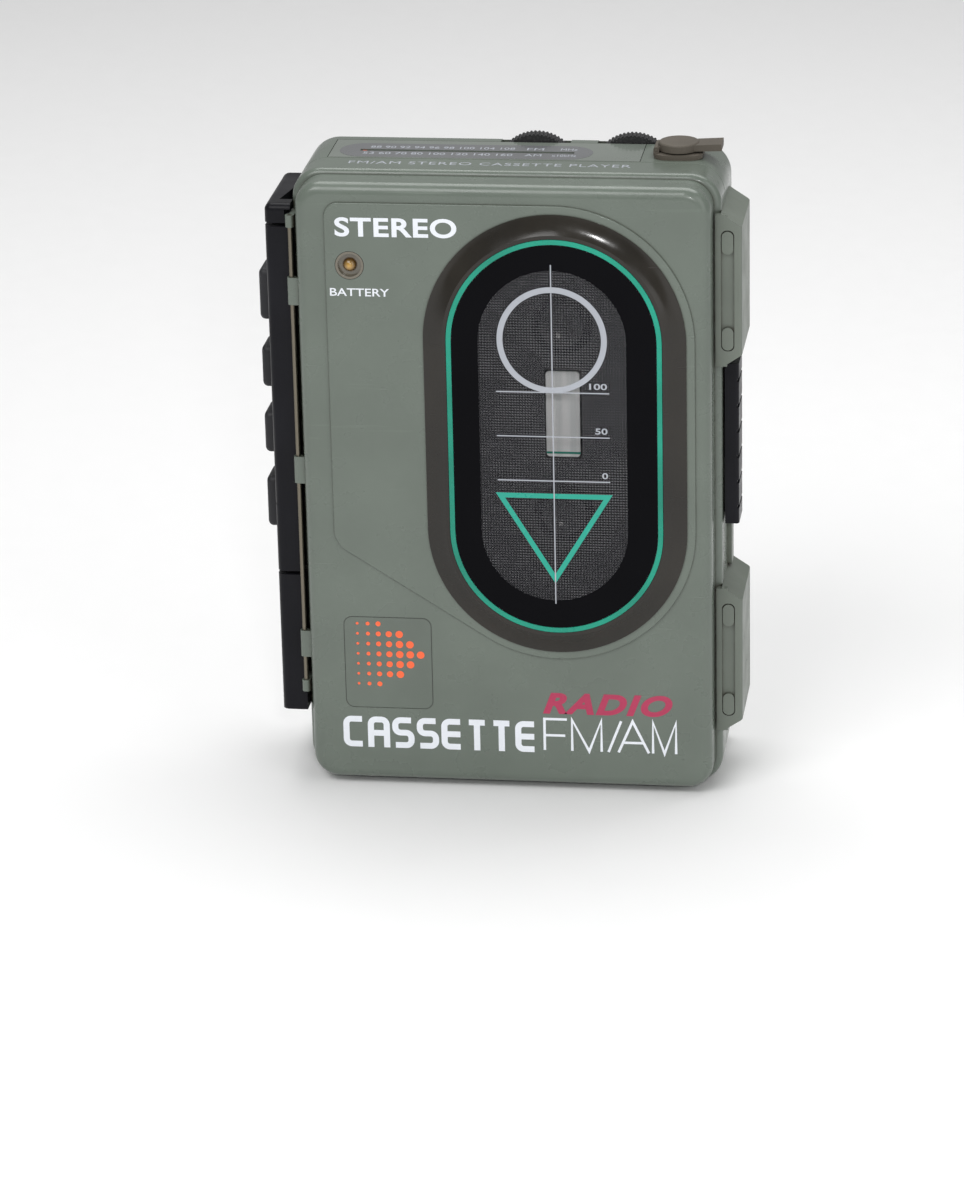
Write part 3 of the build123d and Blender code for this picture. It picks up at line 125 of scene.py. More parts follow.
class Nodes:
    """A small helper that builds one material's node tree."""

    def __init__(self, name):
        self.material = bpy.data.materials.new(name)
        self.material.use_nodes = True
        self.tree = self.material.node_tree
        self.shader = self.tree.nodes["Principled BSDF"]
        self.place = self.add("ShaderNodeTexCoord").outputs["Object"]

    def add(self, kind, inputs=None, **settings):
        node = self.tree.nodes.new(kind)
        for key, value in settings.items():
            setattr(node, key, value)
        for key, value in (inputs or {}).items():
            self.put(node, key, value)
        return node

    def put(self, node, key, value):
        if isinstance(value, bpy.types.NodeSocket):
            self.tree.links.new(value, node.inputs[key])
        elif isinstance(value, tuple) and len(value) == 3 and node.inputs[key].type == "RGBA":
            node.inputs[key].default_value = (*value, 1.0)
        else:
            node.inputs[key].default_value = value

    def noise(self, size, detail=2.0, stretch=None):
        """Noise whose features are about size millimetres, stretched along the axes if asked."""
        place = self.place
        if stretch:
            place = self.add("ShaderNodeMapping", {"Vector": place, "Scale": stretch}).outputs[0]
        inputs = {"Vector": place, "Scale": 1 / (size * MM), "Detail": detail}
        return self.add("ShaderNodeTexNoise", inputs).outputs["Fac"]

    def span(self, value, low, high, to_low=0.0, to_high=1.0):
        """Maps low..high to to_low..to_high, clamped."""
        inputs = {"Value": value, "From Min": low, "From Max": high, "To Min": to_low, "To Max": to_high}
        return self.add("ShaderNodeMapRange", inputs).outputs["Result"]

    def math(self, operation, first, second=0.0):
        return self.add("ShaderNodeMath", {0: first, 1: second}, operation=operation).outputs[0]

    def mix(self, factor, first, second):
        node = self.add("ShaderNodeMix", data_type="RGBA")
        self.put(node, 0, factor)
        self.put(node, 6, first)
        self.put(node, 7, second)
        return node.outputs[2]

    def bump(self, height, depth):
        """Bump of a height field, depth in millimetres."""
        inputs = {"Height": height, "Distance": depth * MM, "Strength": 1.0}
        normal = self.add("ShaderNodeBump", inputs).outputs["Normal"]
        self.put(self.shader, "Normal", normal)

    def axes(self):
        """The point's X, Y and Z in metres."""
        return self.add("ShaderNodeSeparateXYZ", {"Vector": self.place}).outputs


def shade(colour, factor):
    return tuple(min(1.0, channel * factor) for channel in colour)


def finish_material(name, colour, roughness=0.4, metallic=0.0, coat=0.0, grain=0.01, grain_size=0.25,
                    variation=0.08, smudge=0.08, scratches=0.0, dust=0.0, specular=0.5):
    """Moulded, painted or printed surface: uneven colour and gloss, grain, scratches and dirt."""
    n = Nodes(name)
    patches = n.span(n.noise(PATCH, 3.0), 0.35, 0.65)
    tone = n.mix(patches, shade(colour, 1 - variation), shade(colour, 1 + variation))
    specks = n.span(n.noise(SPECK, 1.0), 0.66, 0.74, 0.0, variation)
    tone = n.mix(specks, tone, shade(colour, 1.6))
    glossy, dull = max(0.02, roughness - smudge), min(1.0, roughness + smudge)
    rough = n.span(n.noise(HANDLING, 4.0), 0.3, 0.7, glossy, dull)
    if scratches:
        lines = n.span(n.noise(SCRATCH, 2.0, (0.12, 1.0, 2.6)), 0.69, 0.72)
        tone = n.mix(n.math("MULTIPLY", lines, scratches), tone, shade(colour, 1.9))
        rough = n.math("ADD", rough, n.math("MULTIPLY", lines, 0.2))
    if dust:
        crease = n.add("ShaderNodeAmbientOcclusion", {"Distance": CREASE * MM}, samples=8).outputs["AO"]
        dirt = n.span(crease, 0.25, 0.85, dust, 0.0)
        patchy = n.math("MULTIPLY", dirt, n.span(n.noise(DIRT_PATCH, 3.0), 0.3, 0.6, 0.5, 1.0))
        tone = n.mix(patchy, tone, DIRT)
        rough = n.math("ADD", rough, n.math("MULTIPLY", patchy, 0.3))
    n.put(n.shader, "Base Color", tone)
    n.put(n.shader, "Roughness", rough)
    n.put(n.shader, "Metallic", metallic)
    n.put(n.shader, "Specular IOR Level", specular)
    n.put(n.shader, "Coat Weight", coat)
    n.put(n.shader, "Coat Roughness", 0.08)
    if grain:
        n.bump(n.noise(grain_size, 2.0), grain)
    return n.material


def brushed_material(name, colour, roughness=0.3, along="x"):
    """Drawn or brushed metal with fine lines along one axis."""
    n = Nodes(name)
    stretch = {"x": (0.03, 1.0, 1.0), "z": (1.0, 1.0, 0.03)}[along]
    lines = n.noise(0.15, 3.0, stretch)
    tone = n.mix(n.span(lines, 0.3, 0.7), shade(colour, 0.8), shade(colour, 1.1))
    n.put(n.shader, "Base Color", tone)
    n.put(n.shader, "Metallic", 1.0)
    n.put(n.shader, "Roughness", n.span(lines, 0.3, 0.7, roughness - 0.08, roughness + 0.12))
    n.bump(lines, 0.004)
    return n.material


def pane_material(name):
    """Tinted pane with a fine printed dot screen, seen through between the dots."""
    n = Nodes(name)
    x, _, z = n.axes()
    pitch = 0.6 * MM
    lift = 0.5  # metres, keeps the values positive
    dot_core, dot_edge = 0.16, 0.26  # radii as shares of the pitch
    between, printed = 0.40, 0.75  # how opaque the pane is between the dots and on a dot
    left_clear = 0.06  # share of that opacity where nothing is printed

    def wave(value):
        cell = n.math("FRACT", n.math("DIVIDE", n.math("ADD", value, lift), pitch))
        return n.math("ABSOLUTE", n.math("SUBTRACT", cell, 0.5))

    reach = n.math("SQRT", n.math("ADD", n.math("POWER", wave(x), 2.0), n.math("POWER", wave(z), 2.0)))
    dot = n.span(reach, dot_core, dot_edge, 1.0, 0.0)
    worn = n.span(n.noise(9.0, 3.0), 0.3, 0.7, 0.45, 0.8)
    dot = n.math("MULTIPLY", dot, worn)
    opening = clear_area(n, x, z)
    screen = n.span(dot, 0.0, 1.0, between, printed)
    n.put(n.shader, "Base Color", n.mix(dot, (0.032, 0.032, 0.036), (0.30, 0.30, 0.31)))
    n.put(n.shader, "Alpha", n.math("MULTIPLY", screen, n.span(opening, 0.0, 1.0, 1.0, left_clear)))
    n.put(n.shader, "Roughness", 0.06)
    n.put(n.shader, "Specular IOR Level", 0.08)
    return n.material


def clear_area(n, x, z):
    """1 inside the unprinted rectangle of the pane in front of the white card, 0 outside it."""
    low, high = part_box("reflector")
    # The camera looks down from the right, so the clear area lies above and to the right of the card.
    drift_x, drift_z, margin = 2.2 * MM, 6.0 * MM, 0.25 * MM
    middle_x, middle_z = (low[0] + high[0]) / 2 + drift_x, (low[2] + high[2]) / 2 + drift_z
    wide = n.math("LESS_THAN", n.math("ABSOLUTE", n.math("SUBTRACT", x, middle_x)),
                  (high[0] - low[0]) / 2 + margin)
    tall = n.math("LESS_THAN", n.math("ABSOLUTE", n.math("SUBTRACT", z, middle_z)),
                  (high[2] - low[2]) / 2 + margin)
    return n.math("MULTIPLY", wide, tall)


def lamp_material(name):
    """Dull collar that turns into a deep amber dome at the middle."""
    n = Nodes(name)
    x, _, z = n.axes()
    glow_radius, dome_radius, collar_radius = 1.3 * MM, 1.45 * MM, 1.75 * MM
    low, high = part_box("lamp_lens")
    middle = (Vector(low) + Vector(high)) / 2
    across = n.math("POWER", n.math("SUBTRACT", x, middle.x), 2.0)
    upright = n.math("POWER", n.math("SUBTRACT", z, middle.z), 2.0)
    reach = n.math("SQRT", n.math("ADD", across, upright))
    rim = n.span(reach, dome_radius, collar_radius)
    glow = n.span(reach, 0.0, glow_radius)
    amber = n.mix(glow, (0.52, 0.30, 0.06), (0.07, 0.035, 0.008))
    n.put(n.shader, "Base Color", n.mix(rim, amber, (0.13, 0.115, 0.085)))
    n.put(n.shader, "Roughness", n.span(n.noise(0.5), 0.3, 0.7, 0.12, 0.3))
    n.put(n.shader, "Coat Weight", 0.6)
    n.bump(n.noise(0.4, 2.0), 0.01)
    return n.material


def card_material(name):
    """White card with faint upright streaks and a teal line near its lower end."""
    n = Nodes(name)
    _, _, z = n.axes()
    line_height, line_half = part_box("reflector")[0][2] + 0.9 * MM, 0.25 * MM
    streaks = n.span(n.noise(1.4, 2.0, (1.0, 1.0, 0.04)), 0.35, 0.6)
    tone = n.mix(streaks, (0.80, 0.82, 0.82), (0.98, 0.98, 0.98))
    line = n.math("LESS_THAN", n.math("ABSOLUTE", n.math("SUBTRACT", z, line_height)), line_half)
    n.put(n.shader, "Base Color", n.mix(line, tone, (0.03, 0.30, 0.22)))
    n.put(n.shader, "Roughness", 0.5)
    n.bump(streaks, 0.02)
    return n.material


def wheel_material(name):
    """Black knurled plastic, paler along the worn crests of the knurl."""
    n = Nodes(name)
    wear = n.span(n.noise(0.6, 3.0), 0.5, 0.75)
    n.put(n.shader, "Base Color", n.mix(wear, (0.008, 0.008, 0.009), (0.035, 0.035, 0.035)))
    n.put(n.shader, "Roughness", n.span(n.noise(1.5), 0.3, 0.7, 0.35, 0.6))
    n.bump(n.noise(0.2, 2.0), 0.02)
    return n.material


def board_material(name):
    """Green laminate with darker copper tracks under the resist and tinned pads."""
    n = Nodes(name)
    tracks = n.add("ShaderNodeTexBrick", {"Vector": n.place, "Scale": 160.0, "Mortar Size": 0.02})
    tracks.inputs["Color1"].default_value = (0.014, 0.10, 0.045, 1.0)
    tracks.inputs["Color2"].default_value = (0.012, 0.12, 0.05, 1.0)
    tracks.inputs["Mortar"].default_value = (0.03, 0.20, 0.08, 1.0)
    cells = n.add("ShaderNodeTexVoronoi", {"Vector": n.place, "Scale": 320.0}).outputs["Distance"]
    pads = n.span(cells, 0.12, 0.16, 1.0, 0.0)
    n.put(n.shader, "Base Color", n.mix(pads, tracks.outputs["Color"], (0.6, 0.6, 0.58)))
    n.put(n.shader, "Metallic", pads)
    n.put(n.shader, "Roughness", n.span(n.noise(4.0), 0.3, 0.7, 0.25, 0.45))
    n.bump(tracks.outputs["Fac"], 0.03)
    return n.material


def coil_material(name):
    """Close-wound enamelled wire, one ring of it for each turn along X, painted bright along each turn's
    middle and dark between turns.
    """
    n = Nodes(name)
    x, _, _ = n.axes()
    wire = 0.3 * MM
    turn = n.math("ABSOLUTE", n.math("SINE", n.math("MULTIPLY", x, math.pi / wire)))
    # Painted highlight along the middle of each turn and painted shade between turns; the bump below gives
    # the turns their real relief.
    n.put(n.shader, "Base Color", n.mix(turn, (0.10, 0.025, 0.006), (0.60, 0.20, 0.06)))
    n.put(n.shader, "Metallic", 0.9)
    n.put(n.shader, "Roughness", 0.32)
    n.bump(turn, 0.1)
    return n.material


def cell_material(name):
    """Printed sleeve: dark with a paler band round each end."""
    n = Nodes(name)
    x, _, _ = n.axes()
    band_start = 15.0 * MM
    band = n.math("GREATER_THAN", n.math("ABSOLUTE", x), band_start)
    worn = n.span(n.noise(2.0, 3.0), 0.3, 0.7, 0.8, 1.0)
    tone = n.mix(n.math("MULTIPLY", band, worn), (0.02, 0.021, 0.024), (0.30, 0.30, 0.31))
    n.put(n.shader, "Base Color", tone)
    n.put(n.shader, "Metallic", n.math("MULTIPLY", band, 0.6))
    n.put(n.shader, "Roughness", n.span(n.noise(3.0), 0.3, 0.7, 0.22, 0.38))
    return n.material


def make_materials():
    m = {}
    m["case"] = finish_material("case", (0.118, 0.142, 0.118), roughness=0.30, coat=0.2, grain=0.004,
                                variation=0.05, scratches=0.10, dust=0.85)
    m["guard"] = finish_material("guard", (0.140, 0.160, 0.134), roughness=0.42, grain=0.008, variation=0.06,
                                 scratches=0.05, dust=0.8)
    m["bezel"] = finish_material("bezel", (0.016, 0.0135, 0.010), roughness=0.16, coat=0.0, grain=0.003,
                                 variation=0.2, scratches=0.06, dust=0.4, specular=0.4)
    m["trim"] = finish_material("trim", (0.006, 0.27, 0.18), roughness=0.28, coat=0.1, variation=0.2,
                                specular=0.35)
    m["pane"] = pane_material("pane")
    m["lamp"] = lamp_material("lamp")
    m["rail"] = finish_material("rail", (0.0075, 0.0075, 0.010), roughness=0.36, grain=0.012, variation=0.15,
                                scratches=0.05, specular=0.14)
    m["rubber"] = finish_material("rubber", (0.013, 0.013, 0.016), roughness=0.52, grain=0.02, variation=0.2,
                                  specular=0.4)
    m["seal"] = finish_material("seal", (0.018, 0.020, 0.019), roughness=0.65, grain=0.02)
    m["cap"] = finish_material("cap", (0.098, 0.085, 0.068), roughness=0.62, grain=0.03, variation=0.12,
                               dust=0.5, specular=0.35)
    m["dial"] = finish_material("dial", (0.150, 0.172, 0.150), roughness=0.24, coat=0.4, grain=0.0, dust=0.7)
    m["pointer"] = finish_material("pointer", (0.65, 0.09, 0.03), roughness=0.35)
    m["wheel"] = wheel_material("wheel")
    m["steel"] = brushed_material("steel", (0.60, 0.585, 0.55), 0.28, "z")
    m["rod"] = brushed_material("rod", (0.20, 0.18, 0.14), 0.34, "z")
    m["deck"] = finish_material("deck", (0.028, 0.028, 0.030), roughness=0.42, metallic=0.3, grain=0.01,
                                variation=0.15)
    m["nylon"] = finish_material("nylon", (0.020, 0.020, 0.021), roughness=0.34, grain=0.004)
    m["card"] = card_material("card")
    m["board"] = board_material("board")
    m["chip"] = finish_material("chip", (0.018, 0.018, 0.019), roughness=0.6, grain=0.02)
    m["sleeve"] = finish_material("sleeve", (0.016, 0.030, 0.12), roughness=0.25, coat=0.3)
    m["can"] = brushed_material("can", (0.70, 0.70, 0.71), 0.30, "z")
    m["ferrite"] = finish_material("ferrite", (0.040, 0.038, 0.037), roughness=0.75, grain=0.04)
    m["coil"] = coil_material("coil")
    m["brass"] = brushed_material("brass", (0.72, 0.52, 0.24), 0.25, "x")
    m["tray"] = finish_material("tray", (0.022, 0.022, 0.023), roughness=0.5, grain=0.015)
    m["cell"] = cell_material("cell")
    m["plated"] = brushed_material("plated", (0.78, 0.77, 0.74), 0.18, "x")
    m["belt"] = finish_material("belt", (0.014, 0.014, 0.014), roughness=0.7, grain=0.02)
    m["ink_white"] = finish_material("ink_white", (0.76, 0.79, 0.84), roughness=0.38, variation=0.03)
    m["ink_grey"] = finish_material("ink_grey", (0.38, 0.40, 0.44), roughness=0.30, variation=0.03)
    # This black serves the pane's printed border and also the painted shade discs round the spindles.
    m["black_ink_and_painted_shade"] = finish_material("black_ink_and_painted_shade", (0.0025, 0.0025, 0.0035), roughness=0.10, grain=0.0,
                                     smudge=0.03, specular=0.05)
    m["ink_teal"] = finish_material("ink_teal", (0.010, 0.33, 0.24), roughness=0.25, variation=0.05)
    m["ink_red"] = finish_material("ink_red", (0.40, 0.028, 0.085), roughness=0.40, variation=0.06)
    m["ink_orange"] = finish_material("ink_orange", (1.0, 0.135, 0.040), roughness=0.35, variation=0.04)
    m["oval"] = finish_material("oval", (0.118, 0.122, 0.128), roughness=0.30, coat=0.3, grain=0.0,
                                variation=0.05)
    m["film"] = finish_material("film", (0.106, 0.128, 0.106), roughness=0.2, coat=0.3, grain=0.006,
                                grain_size=2.0)
    m["film_edge"] = finish_material("film_edge", (0.045, 0.050, 0.042), roughness=0.3)
    return m


NODE_FINISH = {
    "case": ("rear_case", "front_case", "lid"),
    "guard": ("upper_guard", "lower_guard", "guard_pads", "latch_track"),
    "bezel": ("window_bezel",),
    "trim": ("window_trim",),
    "pane": ("window_pane",),
    "lamp": ("lamp_lens",),
    "rail": ("strap_bracket", "control_panel", "lower_bracket", "latch", "function_switch", "band_switch"),
    "rubber": ("button_record", "button_rewind", "button_forward", "button_play"),
    "seal": ("gasket", "pinch_roller"),
    "cap": ("cap_base", "jack_cap"),
    "dial": ("dial_panel",),
    "pointer": ("dial_pointer",),
    "wheel": ("tuning_wheel", "volume_wheel"),
    "rod": ("hinge_rod",),
    "steel": ("flywheel", "capstan", "head_carriage", "pinch_arm", "case_screws", "chassis_screws"),
    "deck": ("chassis",),
    "nylon": ("supply_spindle", "takeup_spindle"),
    "card": ("reflector",),
    "board": ("circuit_board",),
    "chip": ("chips",),
    "sleeve": ("capacitors",),
    "can": ("tuner_cans", "motor", "volume_pot"),
    "ferrite": ("rod_antenna",),
    "coil": ("antenna_coil",),
    "brass": ("motor_pulley",),
    "tray": ("battery_tray", "battery_cover", "jack_socket", "tuning_capacitor"),
    "cell": ("cell_front", "cell_rear"),
    "plated": ("battery_contacts", "battery_springs", "tape_head"),
    "belt": ("drive_belt",),
}


def finish_nodes(materials):
    for key, nodes in NODE_FINISH.items():
        for node in nodes:
            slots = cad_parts[node].material_slots
            for slot in slots:
                slot.material = materials[key]


# ---------------------------------------------------------------- printed and small pieces

# Each side maps a flat drawing (right, up, outward) to the frame, at a level along its outward axis.
SIDES = {
    "front": lambda p, level: (p[0], -level - p[2], p[1]),
    "back": lambda p, level: (-p[0], level + p[2], p[1]),
    "top": lambda p, level: (p[0], p[1], level + p[2]),
    "left": lambda p, level: (-level - p[2], -p[0], p[1]),
}


def attach(name, mesh, material, body):
    """Makes a mesh a piece with one material that rides on a body and takes a slot."""
    mesh.materials.append(material)
    piece = bpy.data.objects.new(name, mesh)
    bpy.context.scene.collection.objects.link(piece)
    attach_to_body(piece, body)


def settle(name, curve, side, level, body, material, fit=None):
    """Turns a flat curve drawn in millimetres into a piece on one side of the player.

    With fit, the drawing is stretched to those left, right, bottom and top edges first.
    """
    drawn = bpy.data.objects.new(name, curve)
    bpy.context.scene.collection.objects.link(drawn)
    bpy.context.view_layer.update()
    mesh = bpy.data.meshes.new_from_object(drawn.evaluated_get(bpy.context.evaluated_depsgraph_get()))
    bpy.data.objects.remove(drawn)
    if fit:
        left, right, bottom, top = fit
        xs = [v.co.x for v in mesh.vertices]
        ys = [v.co.y for v in mesh.vertices]
        wide = (right - left) / (max(xs) - min(xs))
        tall = (top - bottom) / (max(ys) - min(ys))
        low_x, low_y = min(xs), min(ys)
        for v in mesh.vertices:
            v.co.x = left + (v.co.x - low_x) * wide
            v.co.y = bottom + (v.co.y - low_y) * tall
    place = SIDES[side]
    for v in mesh.vertices:
        v.co = Vector(place(tuple(v.co), level)) * MM
    work = bmesh.new()
    work.from_mesh(mesh)
    bmesh.ops.remove_doubles(work, verts=work.verts, dist=MERGE)
    bmesh.ops.recalc_face_normals(work, faces=work.faces)
    work.to_mesh(mesh)
    work.free()
    mesh.name = name
    mesh.materials.clear()
    attach(name, mesh, material, body)


def flat_curve(loops, thickness):
    """Closed outlines, the inner ones being holes, as a curve with a flat fill."""
    curve = bpy.data.curves.new("outline", "CURVE")
    curve.dimensions = "2D"
    curve.fill_mode = "BOTH"
    curve.extrude = thickness / 2
    for loop in loops:
        spline = curve.splines.new("POLY")
        spline.points.add(len(loop) - 1)
        for point, (x, y) in zip(spline.points, loop):
            point.co = (x, y, 0.0, 1.0)
        spline.use_cyclic_u = True
    return curve


def strokes_piece(name, lines, width, side, level, body, material, closed=False):
    """Pen strokes of one width with mitred corners, as thin flat ribbons."""
    work = bmesh.new()
    for order, line in enumerate(lines):
        points = [Vector(point) for point in line]
        count = len(points)
        thick = INK + STEP * (order % STEP_CYCLE)
        rows = []
        for i, point in enumerate(points):
            before = points[i - 1] if i or closed else None
            after = points[(i + 1) % count] if i + 1 < count or closed else None
            into = (point - before).normalized() if before is not None else (after - point).normalized()
            out = (after - point).normalized() if after is not None else into
            across = Vector((-into.y - out.y, into.x + out.x)).normalized()
            reach = width / 2 / max(MITRE_LIMIT, across.dot(Vector((-into.y, into.x))))
            left, right = point + across * reach, point - across * reach
            rows.append([work.verts.new((side_point.x, side_point.y, z)) for z in (0.0, thick)
                         for side_point in (left, right)])
        for first, second in zip(rows, rows[1:] + (rows[:1] if closed else [])):
            for corner, other in ((0, 1), (1, 3), (3, 2), (2, 0)):
                work.faces.new((first[corner], second[corner], second[other], first[other]))
        if not closed:
            for end in (rows[0], rows[-1]):
                work.faces.new((end[0], end[1], end[3], end[2]))
    place = SIDES[side]
    for v in work.verts:
        v.co = Vector(place(tuple(v.co), level)) * MM
    bmesh.ops.recalc_face_normals(work, faces=work.faces)
    mesh = bpy.data.meshes.new(name)
    work.to_mesh(mesh)
    work.free()
    attach(name, mesh, material, body)


def round_path(points, radius):
    """Open path with its right-angle corners rounded by arcs of one radius."""
    steps = 6
    path = [points[0]]
    for before, corner, after in zip(points, points[1:], points[2:]):
        into = (Vector(before) - Vector(corner)).normalized()
        out = (Vector(after) - Vector(corner)).normalized()
        centre = Vector(corner) + (into + out) * radius
        for i in range(steps + 1):
            turn = math.pi / 2 * i / steps
            path.append(tuple(centre - out * radius * math.cos(turn) - into * radius * math.sin(turn)))
    path.append(points[-1])
    return path


def text_curve(words, weight=0.0, slant=0.0, spacing=1.0):
    curve = bpy.data.curves.new("words", "FONT")
    curve.body = words
    curve.size = 10.0
    curve.offset = weight
    curve.shear = slant
    curve.space_character = spacing
    curve.extrude = INK / 2
    curve.resolution_u = 6
    return curve


def arc(cx, cy, radius, start, end, steps=24):
    turn = [math.radians(start + (end - start) * i / steps) for i in range(steps + 1)]
    return [(cx + radius * math.cos(a), cy + radius * math.sin(a)) for a in turn]


def stadium(cx, cy, half_width, half_height):
    """Slot outline with round ends, upright or lying down by its proportions."""
    if half_height >= half_width:
        rise = half_height - half_width
        return arc(cx, cy + rise, half_width, 0, 180) + arc(cx, cy - rise, half_width, 180, 360)
    reach = half_width - half_height
    return arc(cx + reach, cy, half_height, -90, 90) + arc(cx - reach, cy, half_height, 90, 270)


def rounded(left, right, bottom, top, radius):
    """Rectangle outline with round corners."""
    corners = (
        (right - radius, top - radius, 0),
        (left + radius, top - radius, 90),
        (left + radius, bottom + radius, 180),
        (right - radius, bottom + radius, 270),
    )
    return [point for cx, cy, start in corners for point in arc(cx, cy, radius, start, start + 90, 6)]


def disc(cx, cy, radius, steps=24):
    return arc(cx, cy, radius, 0, 360 - 360 / steps, steps - 1)


def node_levels():
    """Faces that carry printing, in millimetres, read from the frame."""
    return {
        "lid": -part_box("lid")[0][1] / MM - 0.5,
        "panel": -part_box("lid")[0][1] / MM,
        "pane": -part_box("window_pane")[0][1] / MM,
        "top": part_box("front_case")[1][2] / MM,
        "dial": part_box("dial_panel")[1][2] / MM,
        "button": -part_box("button_play")[0][0] / MM,
        "back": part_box("rear_case")[1][1] / MM,
    }


def print_door(m, level):
    """Words on the door: plain generic ones at the sizes and places of the real print."""
    def words(name, text, fit, material, where="lid", **style):
        curve = text_curve(text, **style)
        settle(name, curve, "front", level[where] + INK / 2, "door", m[material], fit)

    words("print_stereo", "STEREO", (-35.1, -9.3, 125.1, 129.3), "ink_white", "panel",
          weight=0.25, spacing=1.06)
    words("print_battery", "BATTERY", (-36.5, -23.9, 112.1, 113.8), "ink_white", "panel", weight=0.10)
    print_heavy_word(m, level)
    words("print_radio", "RADIO", (7.0, 35.2, 18.2, 23.2), "ink_red", weight=0.42, slant=0.3, spacing=1.14)
    low, high, pen = 9.7, 17.0, 0.56
    strokes = [  # an F and an M, a slash, an A and an M
        [(12.2, high), (7.3, high), (7.3, low)],
        [(7.3, 13.2), (11.8, 13.2)],
        [(13.3, low), (13.3, high), (17.0, low), (19.7, high), (19.7, low)],
        [(21.2, low), (24.0, high)],
        [(23.4, low), (26.5, high), (30.0, low)],
        [(24.4, 12.0), (29.0, 12.0)],
        [(30.9, low), (30.9, high), (33.4, low), (35.9, high), (35.9, low)],
    ]
    strokes_piece("print_bands", strokes, pen, "front", level["lid"], "door", m["ink_white"])


def print_heavy_word(m, level):
    """The heavy word CASSETTE in letters of one pen width with rounded shoulders."""
    left, right, low, high = -36.9, 5.7, 9.1, 16.3
    pen, gap, crossbar = 1.35, 0.55, 0.46  # the A's crossbar is at this share of its height
    word = "CASSETTE"
    pitch = (right - left + gap) / len(word)
    wide, tall, bend = pitch - gap - pen, high - low - pen, 1.15
    half, mid = tall / 2, tall * crossbar

    glyphs = {
        "C": [[(wide, tall), (0, tall), (0, 0), (wide, 0)]],
        "A": [[(0, -pen / 2), (0, tall), (wide, tall), (wide, -pen / 2)], [(0, mid), (wide, mid)]],
        "S": [[(wide, tall), (0, tall), (0, half), (wide, half), (wide, 0), (0, 0)]],
        "E": [[(wide, tall), (0, tall), (0, 0), (wide, 0)], [(0, half), (wide, half)]],
        "T": [[(0, tall), (wide, tall)], [(wide / 2, tall), (wide / 2, -pen / 2)]],
    }
    lines = []
    for place, letter in enumerate(word):
        for stroke in glyphs[letter]:
            path = round_path(stroke, bend)
            shift_x, shift_y = left + pen / 2 + pitch * place, low + pen / 2
            lines.append([(x + shift_x, y + shift_y) for x, y in path])
    strokes_piece("print_cassette", lines, pen, "front", level["lid"], "door", m["ink_white"])


def print_sticker(m, level):
    """Clear sticker with a halftone arrowhead whose dots grow to the right."""
    face = level["lid"]
    left, right, bottom, top, corner = -36.0, -17.0, 18.5, 39.5, 1.8
    edge_out, edge_in = 0.1, 0.05

    def outline(grow):
        return rounded(left - grow, right + grow, bottom - grow, top + grow, corner + grow)

    film = flat_curve([outline(0.0)], INK)
    settle("sticker_film", film, "front", face + INK / 2, "door", m["film"])
    edge = flat_curve([outline(edge_out), outline(-edge_in)], INK)
    settle("sticker_edge", edge, "front", face + INK / 2, "door", m["film_edge"])
    column_pitch, row_pitch, first_x, first_z = 2.28, 2.33, -33.1, 38.0
    smallest, growth, largest = 0.30, 0.13, 0.84
    loops = []
    for row, count in enumerate((3, 5, 6, 7, 6, 5, 3)):
        for column in range(count):
            radius = min(largest, smallest + growth * column)
            loops.append(disc(first_x + column_pitch * column, first_z - row_pitch * row, radius, 20))
    dots_level = face + INK * 1.6  # the dots' faces stand clear of the film's
    settle("sticker_dots", flat_curve(loops, INK), "front", dots_level, "door", m["ink_orange"])


def print_window(m, level):
    """Black border and the scale, ring and triangle on the pane."""
    face, cx = level["pane"], 10.5
    edge_gap = 0.02
    clear_half_width, clear_half_height, clear_rise = 15.7, 36.8, 0.3
    line_half, line_pen, line_top, line_bottom = 12.0, 0.24, 120.2, 44.6
    figures_right, figures_tall = 22.05, 1.35
    ring_height, ring_outer, ring_inner = 103.7, 11.65, 10.4
    triangle_top, triangle_bottom, triangle_half, triangle_pen = 69.05, 50.3, 11.5, 1.1
    window_low, window_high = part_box("window_pane")
    middle = (window_low[2] + window_high[2]) / 2 / MM
    middle_x = (window_low[0] + window_high[0]) / 2 / MM
    half_width = (window_high[0] - window_low[0]) / 2 / MM
    half_height = (window_high[2] - window_low[2]) / 2 / MM
    border = flat_curve([
        stadium(middle_x, middle, half_width - edge_gap, half_height - edge_gap),
        stadium(cx, middle + clear_rise, clear_half_width, clear_half_height),
    ], INK)
    settle("pane_border", border, "front", face + INK / 2, "door", m["black_ink_and_painted_shade"])
    top = face + INK
    lines = [[(cx - line_half, z), (cx + line_half, z)] for z in (92.2, 82.35, 72.45)]
    lines.append([(cx, line_top), (cx, line_bottom)])
    strokes_piece("scale_lines", lines, line_pen, "front", top, "door", m["ink_grey"])
    for text, width, low in (("100", 3.75, 93.0), ("50", 2.6, 83.1), ("0", 1.25, 73.15)):
        fit = (figures_right - width, figures_right, low, low + figures_tall)
        settle(f"scale_{text}", text_curve(text, 0.15), "front", top, "door", m["ink_grey"], fit)
    ring = flat_curve([disc(cx, ring_height, radius, 72) for radius in (ring_outer, ring_inner)], INK)
    settle("scale_ring", ring, "front", top, "door", m["ink_grey"])
    corners = [(cx - triangle_half, triangle_top), (cx + triangle_half, triangle_top), (cx, triangle_bottom)]
    strokes_piece("scale_triangle", [corners], triangle_pen, "front", top, "door", m["ink_teal"],
                  closed=True)


